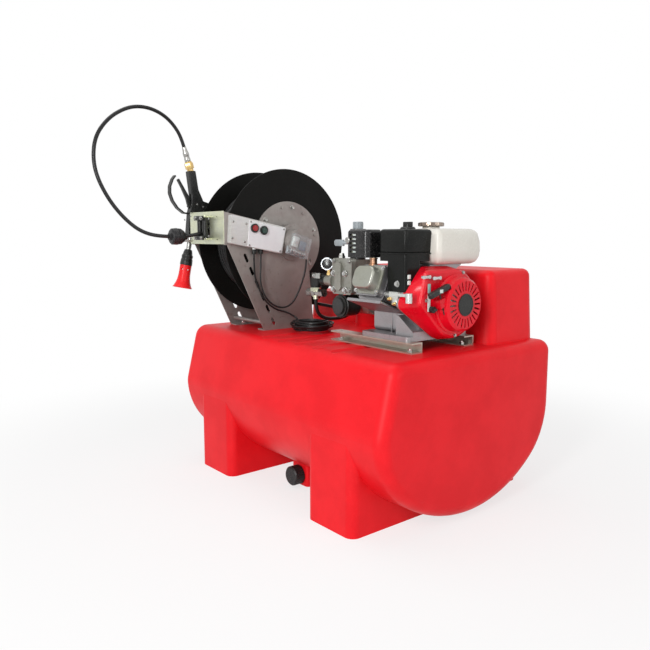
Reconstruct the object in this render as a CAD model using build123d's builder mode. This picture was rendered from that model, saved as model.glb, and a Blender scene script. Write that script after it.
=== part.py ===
"""Skid-mounted orchard sprayer: a moulded tank that carries an engine pump and a powered hose reel."""

import os
from math import cos, pi, radians, sin, sqrt, tan

from build123d import *

os.makedirs("parts", exist_ok=True)
pieces = {}
stand = (Align.CENTER, Align.CENTER, Align.MIN)  # a cylinder reaches up its axis from its place
hang = (Align.CENTER, Align.CENTER, Align.MAX)  # a cylinder reaches down its axis from its place

# X runs along the tank, -Y is the working side, Z is up from the ground. All sizes are in mm.

# Fits
slip = 0.05  # radial running clearance of a pin or shaft
gap = 0.3  # clearance of curved or soft faces that don't bear
sheet = 4  # folded plate of the reel frame

# Tank
tank_y = 37  # the tank sits behind the origin, because the spray gun hangs out in front
tank_length = 1034
tank_width = 744
seam_z = 294  # widest level, where the drum's round belly starts
deck_z = 486
belly_z = 14
tank_wall = 6
flank_r = 230  # the belly's two side arcs
front_lean = 47  # how far the front's top edge stands back from the seam
front_edge_r = 45
back_edge_r = 36
seam_r = 90
end_edge_r = 34
foot_inner_x = 207.5
foot_outer_x = 405.5
foot_setback = 3
foot_corner_r = 28
foot_top_z = 270
riser_left_x = -150
riser_right_x = 470
riser_front_y = tank_y + 112
riser_back_y = tank_y + 350
riser_top_z = 706
riser_corner_r = 40
riser_edge_r = 24
riser_draft = 3
shelf_left_x = -468
shelf_front_y = tank_y + 165
shelf_top_z = 592
groove_count = 5
groove_pitch = 86
groove_first_x = -90
groove_r = 40
groove_depth = 5

# Filler, on the riser
lid_x = 150
lid_y = tank_y + 212
neck_r = 72
neck_bore_r = 63
neck_height = 20
lid_r = 82
lid_thickness = 5
lid_skirt = 14
hinge_pin_r = 3
hinge_ear = 8
basket_depth = 120
basket_wall = 2.5
basket_slots = 14

# Sump and its drain cap
sump_half_x = 42
sump_front_y = tank_y - tank_width / 2 + 136
sump_back_y = tank_y + 20
sump_bottom_z = 8
cap_z = 42
cap_r = 31
cap_depth = 34
spout_r = 21
spout_length = 24
cap_ribs = 20

# Engine
crank_y = tank_y - 31
crank_z = 618
channel_height = 30
channel_width = 42
channel_left_x = 86
channel_right_x = 430
channel_y = (tank_y - 155, tank_y + 66)  # centre lines of the two mounting channels
engine_base_z = deck_z + channel_height
cylinder_tilt = 21
cylinder_x = 292
crankcase_left_x = 226
crankcase_right_x = 404
shroud_face_x = 456
recoil_face_x = 493
shroud_r = 98
shroud_back_lobes = ((-161, 8), (-90, 84))  # how far each lobe stands before and above the crank
shroud_face_lobes = ((-127, 8), (-107, 84))
lobe_r = 14
recoil_r = 84
recoil_slots = 24
shaft_r = 12
rope_r = 2
grip_tilt = 19
channel_wall = 4
channel_bolt_r = 4
channel_bolt_x = (112, 404)
fin_count = 9
fin_pitch = 7.4
barrel_start = 100
head_start = 166
head_end = 184
fin_thickness = 2.6
cleaner_x = (311, 415)
cleaner_y = (tank_y - 190, tank_y - 89)
cleaner_z = (738, 758, 825)
duct_x = (343, 415)  # the air cleaner's elbow, down to the carburettor
duct_y = (tank_y - 190, tank_y - 128)
duct_bottom_z = 656
fuel_x = (250, 428)
fuel_y = (tank_y - 80, tank_y + 82)
fuel_z = (727, 766, 828)
muffler_x = (196, 288)
muffler_y = (tank_y - 215, tank_y - 112)
muffler_z = (746, 825)

# Pump
pump_x = (62, 150)
pump_r = 60
bell_r = 44

# Reel
reel_y = tank_y - 104
reel_z = 785
near_plate_x = -214  # outer face of the plate on the engine's side
far_plate_x = -432  # outer face of the plate at the tank's end
near_disc_x = -240
far_disc_x = -410
disc_r = 250
disc_thickness = 2.5
hub_r = 140
core_r = 95
axle_r = 12.5
hose_r = 6
winding_r = 186
window_x = -322
window_z = 833
arm_bottom_z = window_z - 53
arm_top_z = window_z + 53
arm_tip_y = tank_y - 372  # front face of the roller guide
roller_r = 9
reel_bolt_r = 5
reel_bolt_y = (tank_y - 185, tank_y - 45)

# Spray gun, hung on the far plate
gun_x = -456
gun_half_width = 13
lance_r = 8.5

x_line = (0, 90, 0)  # turns a cylinder along X
y_line = (90, 0, 0)  # turns a cylinder along Y


def side_plane(x):
    """Upright plane across the tank at x, with Y to the right and Z up."""
    return Plane(origin=(x, 0, 0), x_dir=(0, 1, 0), z_dir=(1, 0, 0))


def front_plane(y):
    """Upright plane along the tank at y, with X to the right and Z up. It faces the working side."""
    return Plane(origin=(0, y, 0), x_dir=(1, 0, 0), z_dir=(0, -1, 0))


# ---- Tank ----


def tank_form(skin):
    """The tank's outer form, drawn in by skin on every side."""
    half_width = tank_width / 2 - skin
    top_z = deck_z - skin
    side_r = flank_r - skin
    side_y = half_width - side_r
    drop = seam_z - belly_z - skin
    belly_r = (side_y**2 + drop**2 - side_r**2) / (2 * (drop - side_r))
    reach = sqrt((belly_r - side_r) ** 2 - side_y**2)
    share = belly_r / (belly_r - side_r)
    meet_y, meet_z = side_y * share, seam_z + reach - reach * share
    top_front = (tank_y - half_width + front_lean, top_z)
    top_back = (tank_y + half_width, top_z)
    seam_front = (tank_y - half_width, seam_z)
    seam_back = (tank_y + half_width, seam_z)
    with BuildPart() as form:
        with BuildSketch(side_plane(-tank_length / 2 + skin)):
            with BuildLine():
                ThreePointArc(
                    (tank_y - meet_y, meet_z), (tank_y, seam_z - drop), (tank_y + meet_y, meet_z)
                )
                RadiusArc((tank_y + meet_y, meet_z), seam_back, -side_r)
                Polyline(seam_back, top_back, top_front, seam_front)
                RadiusArc(seam_front, (tank_y - meet_y, meet_z), -side_r)
            make_face()
            for corner, radius in (
                (top_front, front_edge_r - skin),
                (top_back, back_edge_r - skin),
                (seam_front, seam_r),
            ):
                fillet(vertices().sort_by_distance(Vector(*corner))[0], radius)
        extrude(amount=tank_length - 2 * skin)
        fillet(faces().filter_by(Axis.X).edges(), end_edge_r - skin)
        with BuildSketch(Plane.XY.offset(skin)):
            foot_mid_x = (foot_inner_x + foot_outer_x) / 2
            with Locations((foot_mid_x, tank_y), (-foot_mid_x, tank_y)):
                RectangleRounded(
                    foot_outer_x - foot_inner_x - 2 * skin,
                    tank_width - 2 * foot_setback - 2 * skin,
                    foot_corner_r - skin,
                )
        extrude(amount=foot_top_z - skin)
        root_z = deck_z - front_edge_r
        with BuildSketch(Plane.XY.offset(root_z)):
            with Locations(
                ((riser_left_x + riser_right_x) / 2, (riser_front_y + riser_back_y) / 2)
            ):
                RectangleRounded(
                    riser_right_x - riser_left_x - 2 * skin,
                    riser_back_y - riser_front_y - 2 * skin,
                    riser_corner_r - skin,
                )
        extrude(amount=riser_top_z - skin - root_z, taper=riser_draft)
        fillet(faces().sort_by(Axis.Z)[-1].edges(), riser_edge_r - skin)
        shelf_end_x = riser_left_x + 2 * riser_corner_r
        with BuildSketch(Plane.XY.offset(root_z)):
            with Locations(
                ((shelf_left_x + shelf_end_x) / 2, (shelf_front_y + riser_back_y) / 2)
            ):
                RectangleRounded(
                    shelf_end_x - shelf_left_x - 2 * skin,
                    riser_back_y - shelf_front_y - 2 * skin,
                    riser_corner_r - skin,
                )
        extrude(amount=shelf_top_z - skin - root_z, taper=riser_draft)
        with BuildSketch(Plane.XY.offset(sump_bottom_z + skin)):
            with Locations((0, (sump_front_y + sump_back_y) / 2)):
                RectangleRounded(
                    2 * (sump_half_x - skin), sump_back_y - sump_front_y - 2 * skin, 12 - skin
                )
        extrude(amount=seam_z / 2)
    return form.part


neck_top_z = riser_top_z + neck_height
hinge_y = lid_y + lid_r + hinge_ear
with BuildPart() as tank:
    add(tank_form(0))
    for index in range(groove_count):
        groove_x = groove_first_x + index * groove_pitch
        front_y, back_y = tank_y - tank_width / 2, tank_y - 110
        axis_z = deck_z + groove_r - groove_depth
        with Locations((groove_x, (front_y + back_y) / 2, axis_z)):
            Cylinder(groove_r, back_y - front_y, rotation=y_line, mode=Mode.SUBTRACT)
        with Locations((groove_x, back_y, axis_z)):
            Sphere(groove_r, mode=Mode.SUBTRACT)
    with Locations((lid_x, lid_y, riser_top_z - tank_wall)):
        Cylinder(neck_r, neck_height + tank_wall, align=stand)
    for side in (-1, 1):
        with BuildSketch(side_plane(lid_x + side * 20 - hinge_ear / 2)):
            with Locations((hinge_y, neck_top_z - 6)):
                Circle(hinge_ear)
            with Locations((hinge_y, (riser_top_z - 20 + neck_top_z - 6) / 2)):
                Rectangle(2 * hinge_ear, neck_top_z - 6 - riser_top_z + 20)
        extrude(amount=hinge_ear)
    with Locations((lid_x, hinge_y, neck_top_z - 6)):
        Cylinder(hinge_pin_r + slip, 60, rotation=x_line, mode=Mode.SUBTRACT)
    with Locations((0, sump_front_y, cap_z)):
        Cylinder(spout_r, 2 * spout_length, rotation=y_line)
    add(tank_form(tank_wall), mode=Mode.SUBTRACT)
    with Locations((lid_x, lid_y, riser_top_z)):
        Cylinder(neck_bore_r, 4 * neck_height, mode=Mode.SUBTRACT)
    with Locations((0, sump_front_y, cap_z)):
        Cylinder(spout_r - tank_wall, 3 * cap_depth, rotation=y_line, mode=Mode.SUBTRACT)
pieces["tank"] = tank

with BuildPart() as filler_basket:
    with BuildSketch(front_plane(lid_y)):
        with BuildLine():
            rim_z = neck_top_z + 3
            foot_z = neck_top_z - basket_depth
            outer = lid_x + neck_bore_r - 1
            Polyline(
                (lid_x, foot_z),
                (outer - 4, foot_z),
                (outer, foot_z + 4),
                (outer, neck_top_z),
                (lid_x + neck_r, neck_top_z),
                (lid_x + neck_r, rim_z),
                (outer - basket_wall, rim_z),
                (outer - basket_wall, foot_z + basket_wall + 2),
                (outer - basket_wall - 2, foot_z + basket_wall),
                (lid_x, foot_z + basket_wall),
                close=True,
            )
        make_face()
    revolve(axis=Axis((lid_x, lid_y, 0), (0, 0, 1)))
    with BuildSketch(Plane(origin=(lid_x, lid_y, foot_z + 14))):
        with PolarLocations(neck_bore_r, basket_slots):
            Rectangle(16, 10)
    extrude(amount=basket_depth - 40, mode=Mode.SUBTRACT)
    with BuildSketch(Plane(origin=(lid_x, lid_y, foot_z - 1))):
        with GridLocations(18, 18, 5, 5):
            Rectangle(11, 11)
        Circle(neck_bore_r - 8, mode=Mode.INTERSECT)
    extrude(amount=basket_wall + 2, mode=Mode.SUBTRACT)
pieces["filler_basket"] = filler_basket

with BuildPart() as filler_lid:
    seat_z = neck_top_z + 3
    with BuildSketch(front_plane(lid_y)):
        with BuildLine():
            Polyline(
                (lid_x, seat_z),
                (lid_x + neck_r + 2, seat_z),
                (lid_x + neck_r + 2, seat_z - lid_skirt),
                (lid_x + lid_r, seat_z - lid_skirt),
                (lid_x + lid_r, seat_z + 2),
                (lid_x + lid_r - 6, seat_z + lid_thickness + 3),
                (lid_x + 30, seat_z + lid_thickness + 6),
                (lid_x, seat_z + lid_thickness + 6),
                close=True,
            )
        make_face()
    revolve(axis=Axis((lid_x, lid_y, 0), (0, 0, 1)))
    with Locations((lid_x, lid_y, seat_z + lid_thickness + 6)):
        Cylinder(11, 9, align=stand)
    with BuildSketch(side_plane(lid_x - 15)):
        with Locations((hinge_y, neck_top_z - 6)):
            Circle(hinge_ear - 1)
        with Locations((hinge_y - hinge_ear / 2 - 2, neck_top_z - 6)):
            Rectangle(hinge_ear + 6, 2 * hinge_ear - 2)
    extrude(amount=30)
    with Locations((lid_x, hinge_y, neck_top_z - 6)):
        Cylinder(hinge_pin_r, 48, rotation=x_line)
pieces["filler_lid"] = filler_lid

with BuildPart() as drain_cap:
    cap_back_y = sump_front_y - 2
    with Locations((0, cap_back_y - cap_depth / 2, cap_z)):
        Cylinder(cap_r, cap_depth, rotation=y_line)
    chamfer(edges().filter_by(GeomType.CIRCLE).sort_by(Axis.Y)[0], 4)
    with BuildSketch(front_plane(cap_back_y)):
        with Locations((0, cap_z)):
            with PolarLocations(cap_r + 1, cap_ribs):
                Circle(2.4)
    extrude(amount=cap_depth, mode=Mode.SUBTRACT)
    bore_end_y = sump_front_y - spout_length - gap
    with Locations((0, (sump_front_y + bore_end_y) / 2, cap_z)):
        Cylinder(
            spout_r + gap, sump_front_y - bore_end_y, rotation=y_line, mode=Mode.SUBTRACT
        )
pieces["drain_cap"] = drain_cap

# ---- Engine ----

with BuildPart() as channels:
    for line_y in channel_y:
        with BuildSketch(side_plane(channel_left_x)):
            with Locations((line_y, deck_z + channel_height / 2)):
                Rectangle(channel_width, channel_height)
            with Locations((line_y - channel_wall, deck_z + channel_height / 2)):
                Rectangle(channel_width, channel_height - 2 * channel_wall, mode=Mode.SUBTRACT)
        extrude(amount=channel_right_x - channel_left_x)
    with Locations(*[(x, y, deck_z) for x in channel_bolt_x for y in channel_y]):
        Cylinder(channel_bolt_r + gap, 4 * channel_height, mode=Mode.SUBTRACT)
pieces["mounting_channels"] = channels

deck_bolts = [(x, y, channel_bolt_r, channel_wall) for x in channel_bolt_x for y in channel_y]
for x in (near_plate_x - sheet - 20, far_plate_x + sheet + 20):
    for y in reel_bolt_y:
        deck_bolts.append((x, y, reel_bolt_r, sheet))
with BuildPart() as deck_bolt_set:
    for x, y, radius, under in deck_bolts:
        with Locations((x, y, deck_z)):
            Cylinder(radius, under + 8, align=stand)
        with BuildSketch(Plane.XY.offset(deck_z + under)):
            with Locations((x, y)):
                RegularPolygon(1.7 * radius, 6, major_radius=False)
        extrude(amount=1.2 * radius)
pieces["deck_bolts"] = deck_bolt_set

barrel = Plane(
    origin=(cylinder_x, crank_y, crank_z),
    x_dir=(1, 0, 0),
    z_dir=(0, -cos(radians(cylinder_tilt)), sin(radians(cylinder_tilt))),
)  # the cylinder's axis points forward and a little up


def shroud_outline(x, grow, lobes):
    """Fan shroud's outline at x: the round fan end, drawn out toward the cylinder."""
    with BuildSketch(side_plane(x)) as outline:
        with BuildLine():
            CenterArc((crank_y, crank_z), shroud_r + grow, 0, 360)
            for lobe_y, lobe_z in lobes:
                CenterArc((crank_y + lobe_y, crank_z + lobe_z), lobe_r + grow, 0, 360)
        make_hull()
    return outline.sketch


shroud_back_x = crankcase_right_x + 8
with BuildPart() as duct_space:
    Box(
        duct_x[1] - duct_x[0] + 2,
        duct_y[1] - duct_y[0] + 200,
        cleaner_z[1] - duct_bottom_z,
        align=(Align.MIN, Align.MAX, Align.MIN),
    )
duct_space = duct_space.part.moved(Location((duct_x[0] - 1, duct_y[1] + 1, duct_bottom_z - 1)))
with BuildPart() as crankcase:
    with BuildSketch(side_plane(crankcase_left_x)):
        with BuildLine():
            Polyline(
                (crank_y - 92, engine_base_z + 14),
                (crank_y + 78, engine_base_z + 14),
                (crank_y + 84, crank_z - 20),
                (crank_y + 62, crank_z + 55),
                (crank_y + 10, crank_z + 84),
                (crank_y - 50, crank_z + 74),
                (crank_y - 92, crank_z + 30),
                close=True,
            )
        make_face()
        fillet(vertices(), 12)
    extrude(amount=crankcase_right_x - crankcase_left_x)
    with BuildSketch(Plane.XY.offset(engine_base_z)):
        with Locations(((crankcase_left_x + crankcase_right_x) / 2, sum(channel_y) / 2)):
            RectangleRounded(
                crankcase_right_x - crankcase_left_x + 12,
                channel_y[1] - channel_y[0] + channel_width - 8,
                10,
            )
    extrude(amount=14)
    with BuildSketch(front_plane(crank_y - 60)):
        with BuildLine():
            Polyline(
                (crankcase_right_x - 60, crank_z - 34),
                (crankcase_right_x - 50, crank_z - 34),
                (crankcase_right_x + 6, engine_base_z + 26),
                (crankcase_right_x + 6, engine_base_z),
                (crankcase_right_x - 60, engine_base_z),
                close=True,
            )
        make_face()
    extrude(amount=60)
    with Locations((crankcase_left_x - 8, crank_y, crank_z)):
        Cylinder(56, 16, rotation=x_line)
    add(
        extrude(
            shroud_outline(crankcase_right_x, 6, shroud_back_lobes),
            amount=shroud_back_x - crankcase_right_x,
        )
    )
    add(duct_space, mode=Mode.SUBTRACT)
    with BuildSketch(barrel.offset(60)):
        with Locations((0, -57)):
            Rectangle(104, 12)
    extrude(amount=barrel_start - 60)
    with Locations((0, crank_y, crank_z)):
        Cylinder(shaft_r + slip, 1200, rotation=x_line, mode=Mode.SUBTRACT)
    with BuildSketch(barrel):
        Rectangle(104, 112)
    extrude(amount=barrel_start)
    with Locations((crankcase_left_x + 78, crank_y, crank_z)):
        Cylinder(shaft_r + slip, 400, rotation=x_line, mode=Mode.SUBTRACT)
    with BuildSketch(barrel.offset(barrel_start - 8)):
        with Locations((4, -63)):
            RectangleRounded(138, 8, 3.5)
    extrude(amount=100)
    with BuildSketch(side_plane(fuel_x[0] + 20)):
        with BuildLine():
            Polyline(
                (crank_y - 40, crank_z + 84),
                (crank_y + 40, crank_z + 84),
                (crank_y + 84, fuel_z[0] - 3),
                (crank_y + 84, fuel_z[0]),
                (crank_y - 50, fuel_z[0]),
                (crank_y - 50, fuel_z[0] - 3),
                close=True,
            )
        make_face()
    extrude(amount=crankcase_right_x - fuel_x[0] - 20)
    with Locations(((fuel_x[0] + crankcase_right_x + 20) / 2, crank_y, fuel_z[0] - 10)):
        Box(90, 60, 14, mode=Mode.SUBTRACT)
pieces["crankcase"] = crankcase

with BuildPart() as cylinder_head:
    with BuildSketch(barrel.offset(barrel_start)):
        RectangleRounded(78, 84, 12)
    extrude(amount=head_end - barrel_start - 6)
    for index in range(fin_count):
        with BuildSketch(barrel.offset(barrel_start + 3 + index * fin_pitch)):
            RectangleRounded(98, 104, 8)
        extrude(amount=fin_thickness)
    with BuildSketch(barrel.offset(head_start)):
        RectangleRounded(94, 90, 12)
    extrude(amount=head_end - head_start)
pieces["cylinder_head"] = cylinder_head

with BuildPart() as rocker_cover:
    with BuildSketch(barrel.offset(head_end)):
        RectangleRounded(96, 82, 20)
    extrude(amount=5)
    with BuildSketch(barrel.offset(head_end + 5)):
        RectangleRounded(84, 70, 24)
    extrude(amount=30, taper=6)
    fillet(faces().sort_by(Axis((0, 0, 0), barrel.z_dir))[-1].edges(), 7)
pieces["rocker_cover"] = rocker_cover

with BuildPart() as fan_shroud:
    loft(
        [
            shroud_outline(shroud_back_x, 7, shroud_back_lobes),
            shroud_outline(shroud_face_x - 9, 0, shroud_face_lobes),
            shroud_outline(shroud_face_x - 3, -3, shroud_face_lobes),
            shroud_outline(shroud_face_x, -9, shroud_face_lobes),
        ],
        ruled=True,
    )
    loft(
        [
            shroud_outline(shroud_back_x, 4, shroud_back_lobes),
            shroud_outline(shroud_face_x - 9, -3, shroud_face_lobes),
            shroud_outline(shroud_face_x - 4, -9, shroud_face_lobes),
        ],
        ruled=True,
        mode=Mode.SUBTRACT,
    )
    add(duct_space, mode=Mode.SUBTRACT)
    with Locations((shroud_face_x, crank_y, crank_z)):
        Cylinder(recoil_r - 12, 40, rotation=x_line, mode=Mode.SUBTRACT)
pieces["fan_shroud"] = fan_shroud

with BuildPart() as flywheel:
    with BuildSketch(front_plane(crank_y)):
        with BuildLine():
            Polyline(
                (crankcase_right_x + 9, crank_z),
                (crankcase_right_x + 9, crank_z + 84),
                (crankcase_right_x + 20, crank_z + 84),
                (crankcase_right_x + 26, crank_z + 60),
                (recoil_face_x - 14, crank_z + 56),
                (recoil_face_x - 14, crank_z + 50),
                (crankcase_right_x + 40, crank_z + 44),
                (crankcase_right_x + 40, crank_z),
                close=True,
            )
        make_face()
    revolve(axis=Axis((0, crank_y, crank_z), (1, 0, 0)))
    with BuildSketch(side_plane(crankcase_right_x + 20)):
        with Locations((crank_y, crank_z)):
            with PolarLocations(70, 16):
                Rectangle(24, 3)
    extrude(amount=24)
    with Locations(((pump_x[1] - 20 + crankcase_right_x + 36) / 2, crank_y, crank_z)):
        Cylinder(shaft_r, crankcase_right_x + 36 - pump_x[1] + 20, rotation=x_line)
pieces["crankshaft"] = flywheel

grip_x = recoil_face_x - 15
grip_plane = Plane(
    origin=(grip_x, crank_y - 93, crank_z + 41),
    x_dir=(1, 0, 0),
    z_dir=(0, -sin(radians(grip_tilt)), cos(radians(grip_tilt))),
)  # the rope runs along this plane's normal
with BuildPart() as recoil_cover:
    with BuildSketch(front_plane(crank_y)):
        with BuildLine():
            Polyline(
                (shroud_face_x, crank_z + recoil_r),
                (shroud_face_x + 3, crank_z + recoil_r),
                (shroud_face_x + 5, crank_z + recoil_r - 6),
                (recoil_face_x - 6, crank_z + recoil_r - 10),
                (recoil_face_x, crank_z + recoil_r - 17),
                (recoil_face_x, crank_z),
                (recoil_face_x - 3, crank_z),
                (recoil_face_x - 3, crank_z + recoil_r - 18),
                (recoil_face_x - 8, crank_z + recoil_r - 13),
                (shroud_face_x, crank_z + recoil_r - 9),
                close=True,
            )
        make_face()
    revolve(axis=Axis((0, crank_y, crank_z), (1, 0, 0)))
    with BuildSketch(side_plane(recoil_face_x - 20)):
        with Locations((crank_y, crank_z)):
            with PolarLocations(52, recoil_slots):
                SlotOverall(26, 4.5)
    extrude(amount=30, mode=Mode.SUBTRACT)
    with BuildSketch(grip_plane.offset(-46)):
        with Locations((-8, 0)):
            Rectangle(2 * (grip_x - 8 - shroud_face_x), 24)
    extrude(amount=24)
    with BuildSketch(grip_plane.offset(-8)):
        SlotOverall(88, 21, rotation=90)
    extrude(amount=20, mode=Mode.SUBTRACT)
    with BuildSketch(grip_plane.offset(-80)):
        Circle(rope_r + gap)
    extrude(amount=74, mode=Mode.SUBTRACT)
pieces["recoil_cover"] = recoil_cover

with BuildPart() as starter_grip:
    with BuildSketch(grip_plane.offset(-7)):
        SlotOverall(84, 19, rotation=90)
    extrude(amount=15)
    fillet(faces().filter_by(Axis(grip_plane.origin, grip_plane.z_dir)).edges(), 5)
    with BuildSketch(grip_plane.offset(-68)):
        Circle(rope_r)
    extrude(amount=64)
pieces["starter_grip"] = starter_grip


def rounded_block(x_span, y_span, z_span, radius, edge=0):
    """Upright block with rounded corners and, if edge is given, a rounded top."""
    with BuildPart() as block:
        with BuildSketch(Plane.XY.offset(z_span[0])):
            with Locations((sum(x_span) / 2, sum(y_span) / 2)):
                RectangleRounded(x_span[1] - x_span[0], y_span[1] - y_span[0], radius)
        extrude(amount=z_span[1] - z_span[0])
        if edge:
            fillet(faces().sort_by(Axis.Z)[-1].edges(), edge)
    return block.part


with BuildPart() as air_cleaner_base:
    add(rounded_block(cleaner_x, cleaner_y, cleaner_z[:2], 10))
    add(rounded_block(duct_x, duct_y, (duct_bottom_z, cleaner_z[0]), 8))
pieces["air_cleaner_base"] = air_cleaner_base

with BuildPart() as air_cleaner_cover:
    add(rounded_block(cleaner_x, cleaner_y, cleaner_z[1:], 12, 7))
    cleaner_mid = (sum(cleaner_x) / 2 + 12, sum(cleaner_y) / 2)
    with Locations((*cleaner_mid, cleaner_z[2])):
        Cylinder(20, 6, align=stand)
    with Locations((*cleaner_mid, cleaner_z[2] + 6)):
        Cylinder(8, 8, align=stand)
    with BuildSketch(Plane.XY.offset(cleaner_z[2] + 8)):
        with Locations(cleaner_mid):
            SlotOverall(30, 7)
    extrude(amount=9)
pieces["air_cleaner_cover"] = air_cleaner_cover

with BuildPart() as fuel_tank:
    mid = (sum(fuel_x) / 2, sum(fuel_y) / 2)
    size = (fuel_x[1] - fuel_x[0], fuel_y[1] - fuel_y[0])
    with BuildSketch(Plane.XY.offset(fuel_z[1])):
        with Locations(mid):
            RectangleRounded(size[0], size[1], 26)
    extrude(amount=fuel_z[2] - fuel_z[1], taper=9)
    fillet(faces().sort_by(Axis.Z)[-1].edges(), 10)
    with BuildSketch(Plane.XY.offset(fuel_z[1])):
        with Locations(mid):
            RectangleRounded(size[0], size[1], 26)
    extrude(amount=fuel_z[0] - fuel_z[1], taper=9)
    with BuildSketch(Plane.XY.offset(fuel_z[1] - 1.5)):
        with Locations(mid):
            RectangleRounded(size[0] + 14, size[1] + 14, 32)
    extrude(amount=3)
    cap_place = (mid[0], mid[1] - 8)
    with Locations((*cap_place, fuel_z[2])):
        Cylinder(23, 6, align=stand)
        Cylinder(18, 60, mode=Mode.SUBTRACT)
pieces["fuel_tank"] = fuel_tank

with BuildPart() as fuel_cap:
    with Locations((*cap_place, fuel_z[2] + 6)):
        Cylinder(29, 12, align=stand)
    chamfer(edges().filter_by(GeomType.CIRCLE).sort_by(Axis.Z)[-1], 2)
    with BuildSketch(Plane.XY.offset(fuel_z[2] + 6)):
        with Locations(cap_place):
            with PolarLocations(30, 16):
                Circle(2.6)
    extrude(amount=12, mode=Mode.SUBTRACT)
pieces["fuel_cap"] = fuel_cap

with BuildPart() as muffler:
    inner_x = (muffler_x[0] + 6, muffler_x[1] - 6)
    inner_y = (muffler_y[0] + 6, muffler_y[1] - 2)
    add(rounded_block(inner_x, inner_y, (muffler_z[0], muffler_z[1] - 6), 20, 8))
    pipe_foot = barrel.from_local_coords(Vector(-14, 45, 175))
    with Locations((pipe_foot.X, pipe_foot.Y, muffler_z[0])):
        Cylinder(9, muffler_z[0] - pipe_foot.Z, align=hang)
    with BuildSketch(barrel.offset(head_start)):
        RectangleRounded(94, 90, 12)
    extrude(amount=head_end - head_start, mode=Mode.SUBTRACT)
pieces["muffler"] = muffler

with BuildPart() as muffler_shield:
    add(rounded_block(muffler_x, (muffler_y[0], muffler_y[1] - 30), muffler_z, 22, 10))
    with BuildSketch(Plane.XY.offset(muffler_z[0])):
        with Locations((sum(muffler_x) / 2, (muffler_y[0] + muffler_y[1] + 10) / 2)):
            RectangleRounded(
                muffler_x[1] - muffler_x[0] - 6, muffler_y[1] + 10 - muffler_y[0] - 6, 19
            )
    extrude(amount=muffler_z[1] - muffler_z[0] - 3, mode=Mode.SUBTRACT)
    with BuildSketch(front_plane(muffler_y[0] + 8)):
        for row in range(5):
            with Locations((muffler_x[0] + 34, muffler_z[0] + 16 + 12 * row)):
                SlotOverall(26, 5)
    extrude(amount=20, mode=Mode.SUBTRACT)
pieces["muffler_shield"] = muffler_shield

carb_x, carb_y = crankcase_right_x - 20, tank_y - 186
carb_z = duct_bottom_z - 11
with BuildPart() as carburettor:
    with Locations((carb_x, carb_y, carb_z)):
        Box(34, 34, 22)
    with Locations((carb_x, carb_y, carb_z - 10)):
        Cylinder(19, 16, align=hang)
    fillet(edges().filter_by(GeomType.CIRCLE).sort_by(Axis.Z)[0], 5)
    with Locations((carb_x, carb_y, carb_z - 26)):
        Cylinder(4, 3, align=hang)
    intake_end = cylinder_x + 49
    with Locations(((carb_x + intake_end) / 2, carb_y, carb_z)):
        Cylinder(9, carb_x - intake_end, rotation=x_line)
    with Locations((carb_x - 5, carb_y - 21, carb_z + 5)):
        Box(67, 9, 8, align=(Align.MIN, Align.CENTER, Align.CENTER))
    with Locations((carb_x + 62, carb_y - 21, carb_z + 11)):
        Cylinder(9.5, 26, align=hang)
pieces["carburettor"] = carburettor

# Small controls: each is a lever or knob on its own short pivot, standing on the shroud's face.
control_places = {
    "throttle_lever": (shroud_face_x, crank_y - 73, crank_z + 76, 180),
    "choke_lever": (shroud_face_x, crank_y - 115, crank_z + 80, 180),
}
for name, (x, y, z, turn) in control_places.items():
    with BuildPart() as lever:
        with Locations((x, y, z)):
            Cylinder(5, 8, rotation=x_line, align=stand)
        with BuildSketch(side_plane(x + 5)):
            with Locations(Location((y, z, 0), (0, 0, turn))):
                with Locations((14, 0)):
                    SlotOverall(36, 7)
        extrude(amount=3)
        with BuildSketch(side_plane(x + 8)):
            with Locations(Location((y, z, 0), (0, 0, turn))):
                with Locations((27, 0)):
                    SlotOverall(14, 9)
        extrude(amount=3)
    pieces[name] = lever

switch_y, switch_z = crank_y - 101, crank_z - 9
with BuildPart() as engine_switch:
    with Locations((shroud_face_x, switch_y, switch_z)):
        Cylinder(9, 12, rotation=x_line, align=stand)
    with BuildSketch(side_plane(shroud_face_x + 12)):
        with Locations((switch_y, switch_z)):
            SlotOverall(15, 6)
    extrude(amount=6)
pieces["engine_switch"] = engine_switch


# ---- Pump ----

head_y = tank_y - 150
head_z = (628, 739)
head_back_y = head_y + 20
chamber_x, chamber_z = 99, 591
chamber_back_y = crank_y - pump_r - 2
control_x, control_y = 127, head_y + 48
control_z = (head_z[1] - 4, 828)
port_z = 667
port_length = 38
gauge_x, gauge_z = 34, 719
bell_end_x = crankcase_left_x - 16

with BuildPart() as pump_body:
    with BuildSketch(side_plane(pump_x[0])):
        with Locations((crank_y, crank_z)):
            Circle(pump_r)
        with BuildLine():
            Polyline(
                (head_back_y, head_z[0]),
                (head_back_y, control_z[0]),
                (crank_y - 24, control_z[0]),
                (crank_y + 40, crank_z + 44),
                (crank_y, head_z[0]),
                close=True,
            )
        make_face()
    extrude(amount=pump_x[1] - pump_x[0])
    with Locations((chamber_x, chamber_back_y, chamber_z)):
        Cylinder(20, pump_r, rotation=y_line, align=hang)
    with Locations((pump_x[1], crank_y, crank_z)):
        Cylinder(bell_r, bell_end_x - pump_x[1], rotation=x_line, align=stand)
    with Locations((bell_end_x, crank_y, crank_z)):
        Cylinder(56, 9, rotation=x_line, align=hang)
    with Locations((pump_x[1] - 22, crank_y, crank_z)):
        Cylinder(shaft_r + slip, 200, rotation=x_line, align=stand, mode=Mode.SUBTRACT)
pieces["pump_body"] = pump_body

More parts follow.
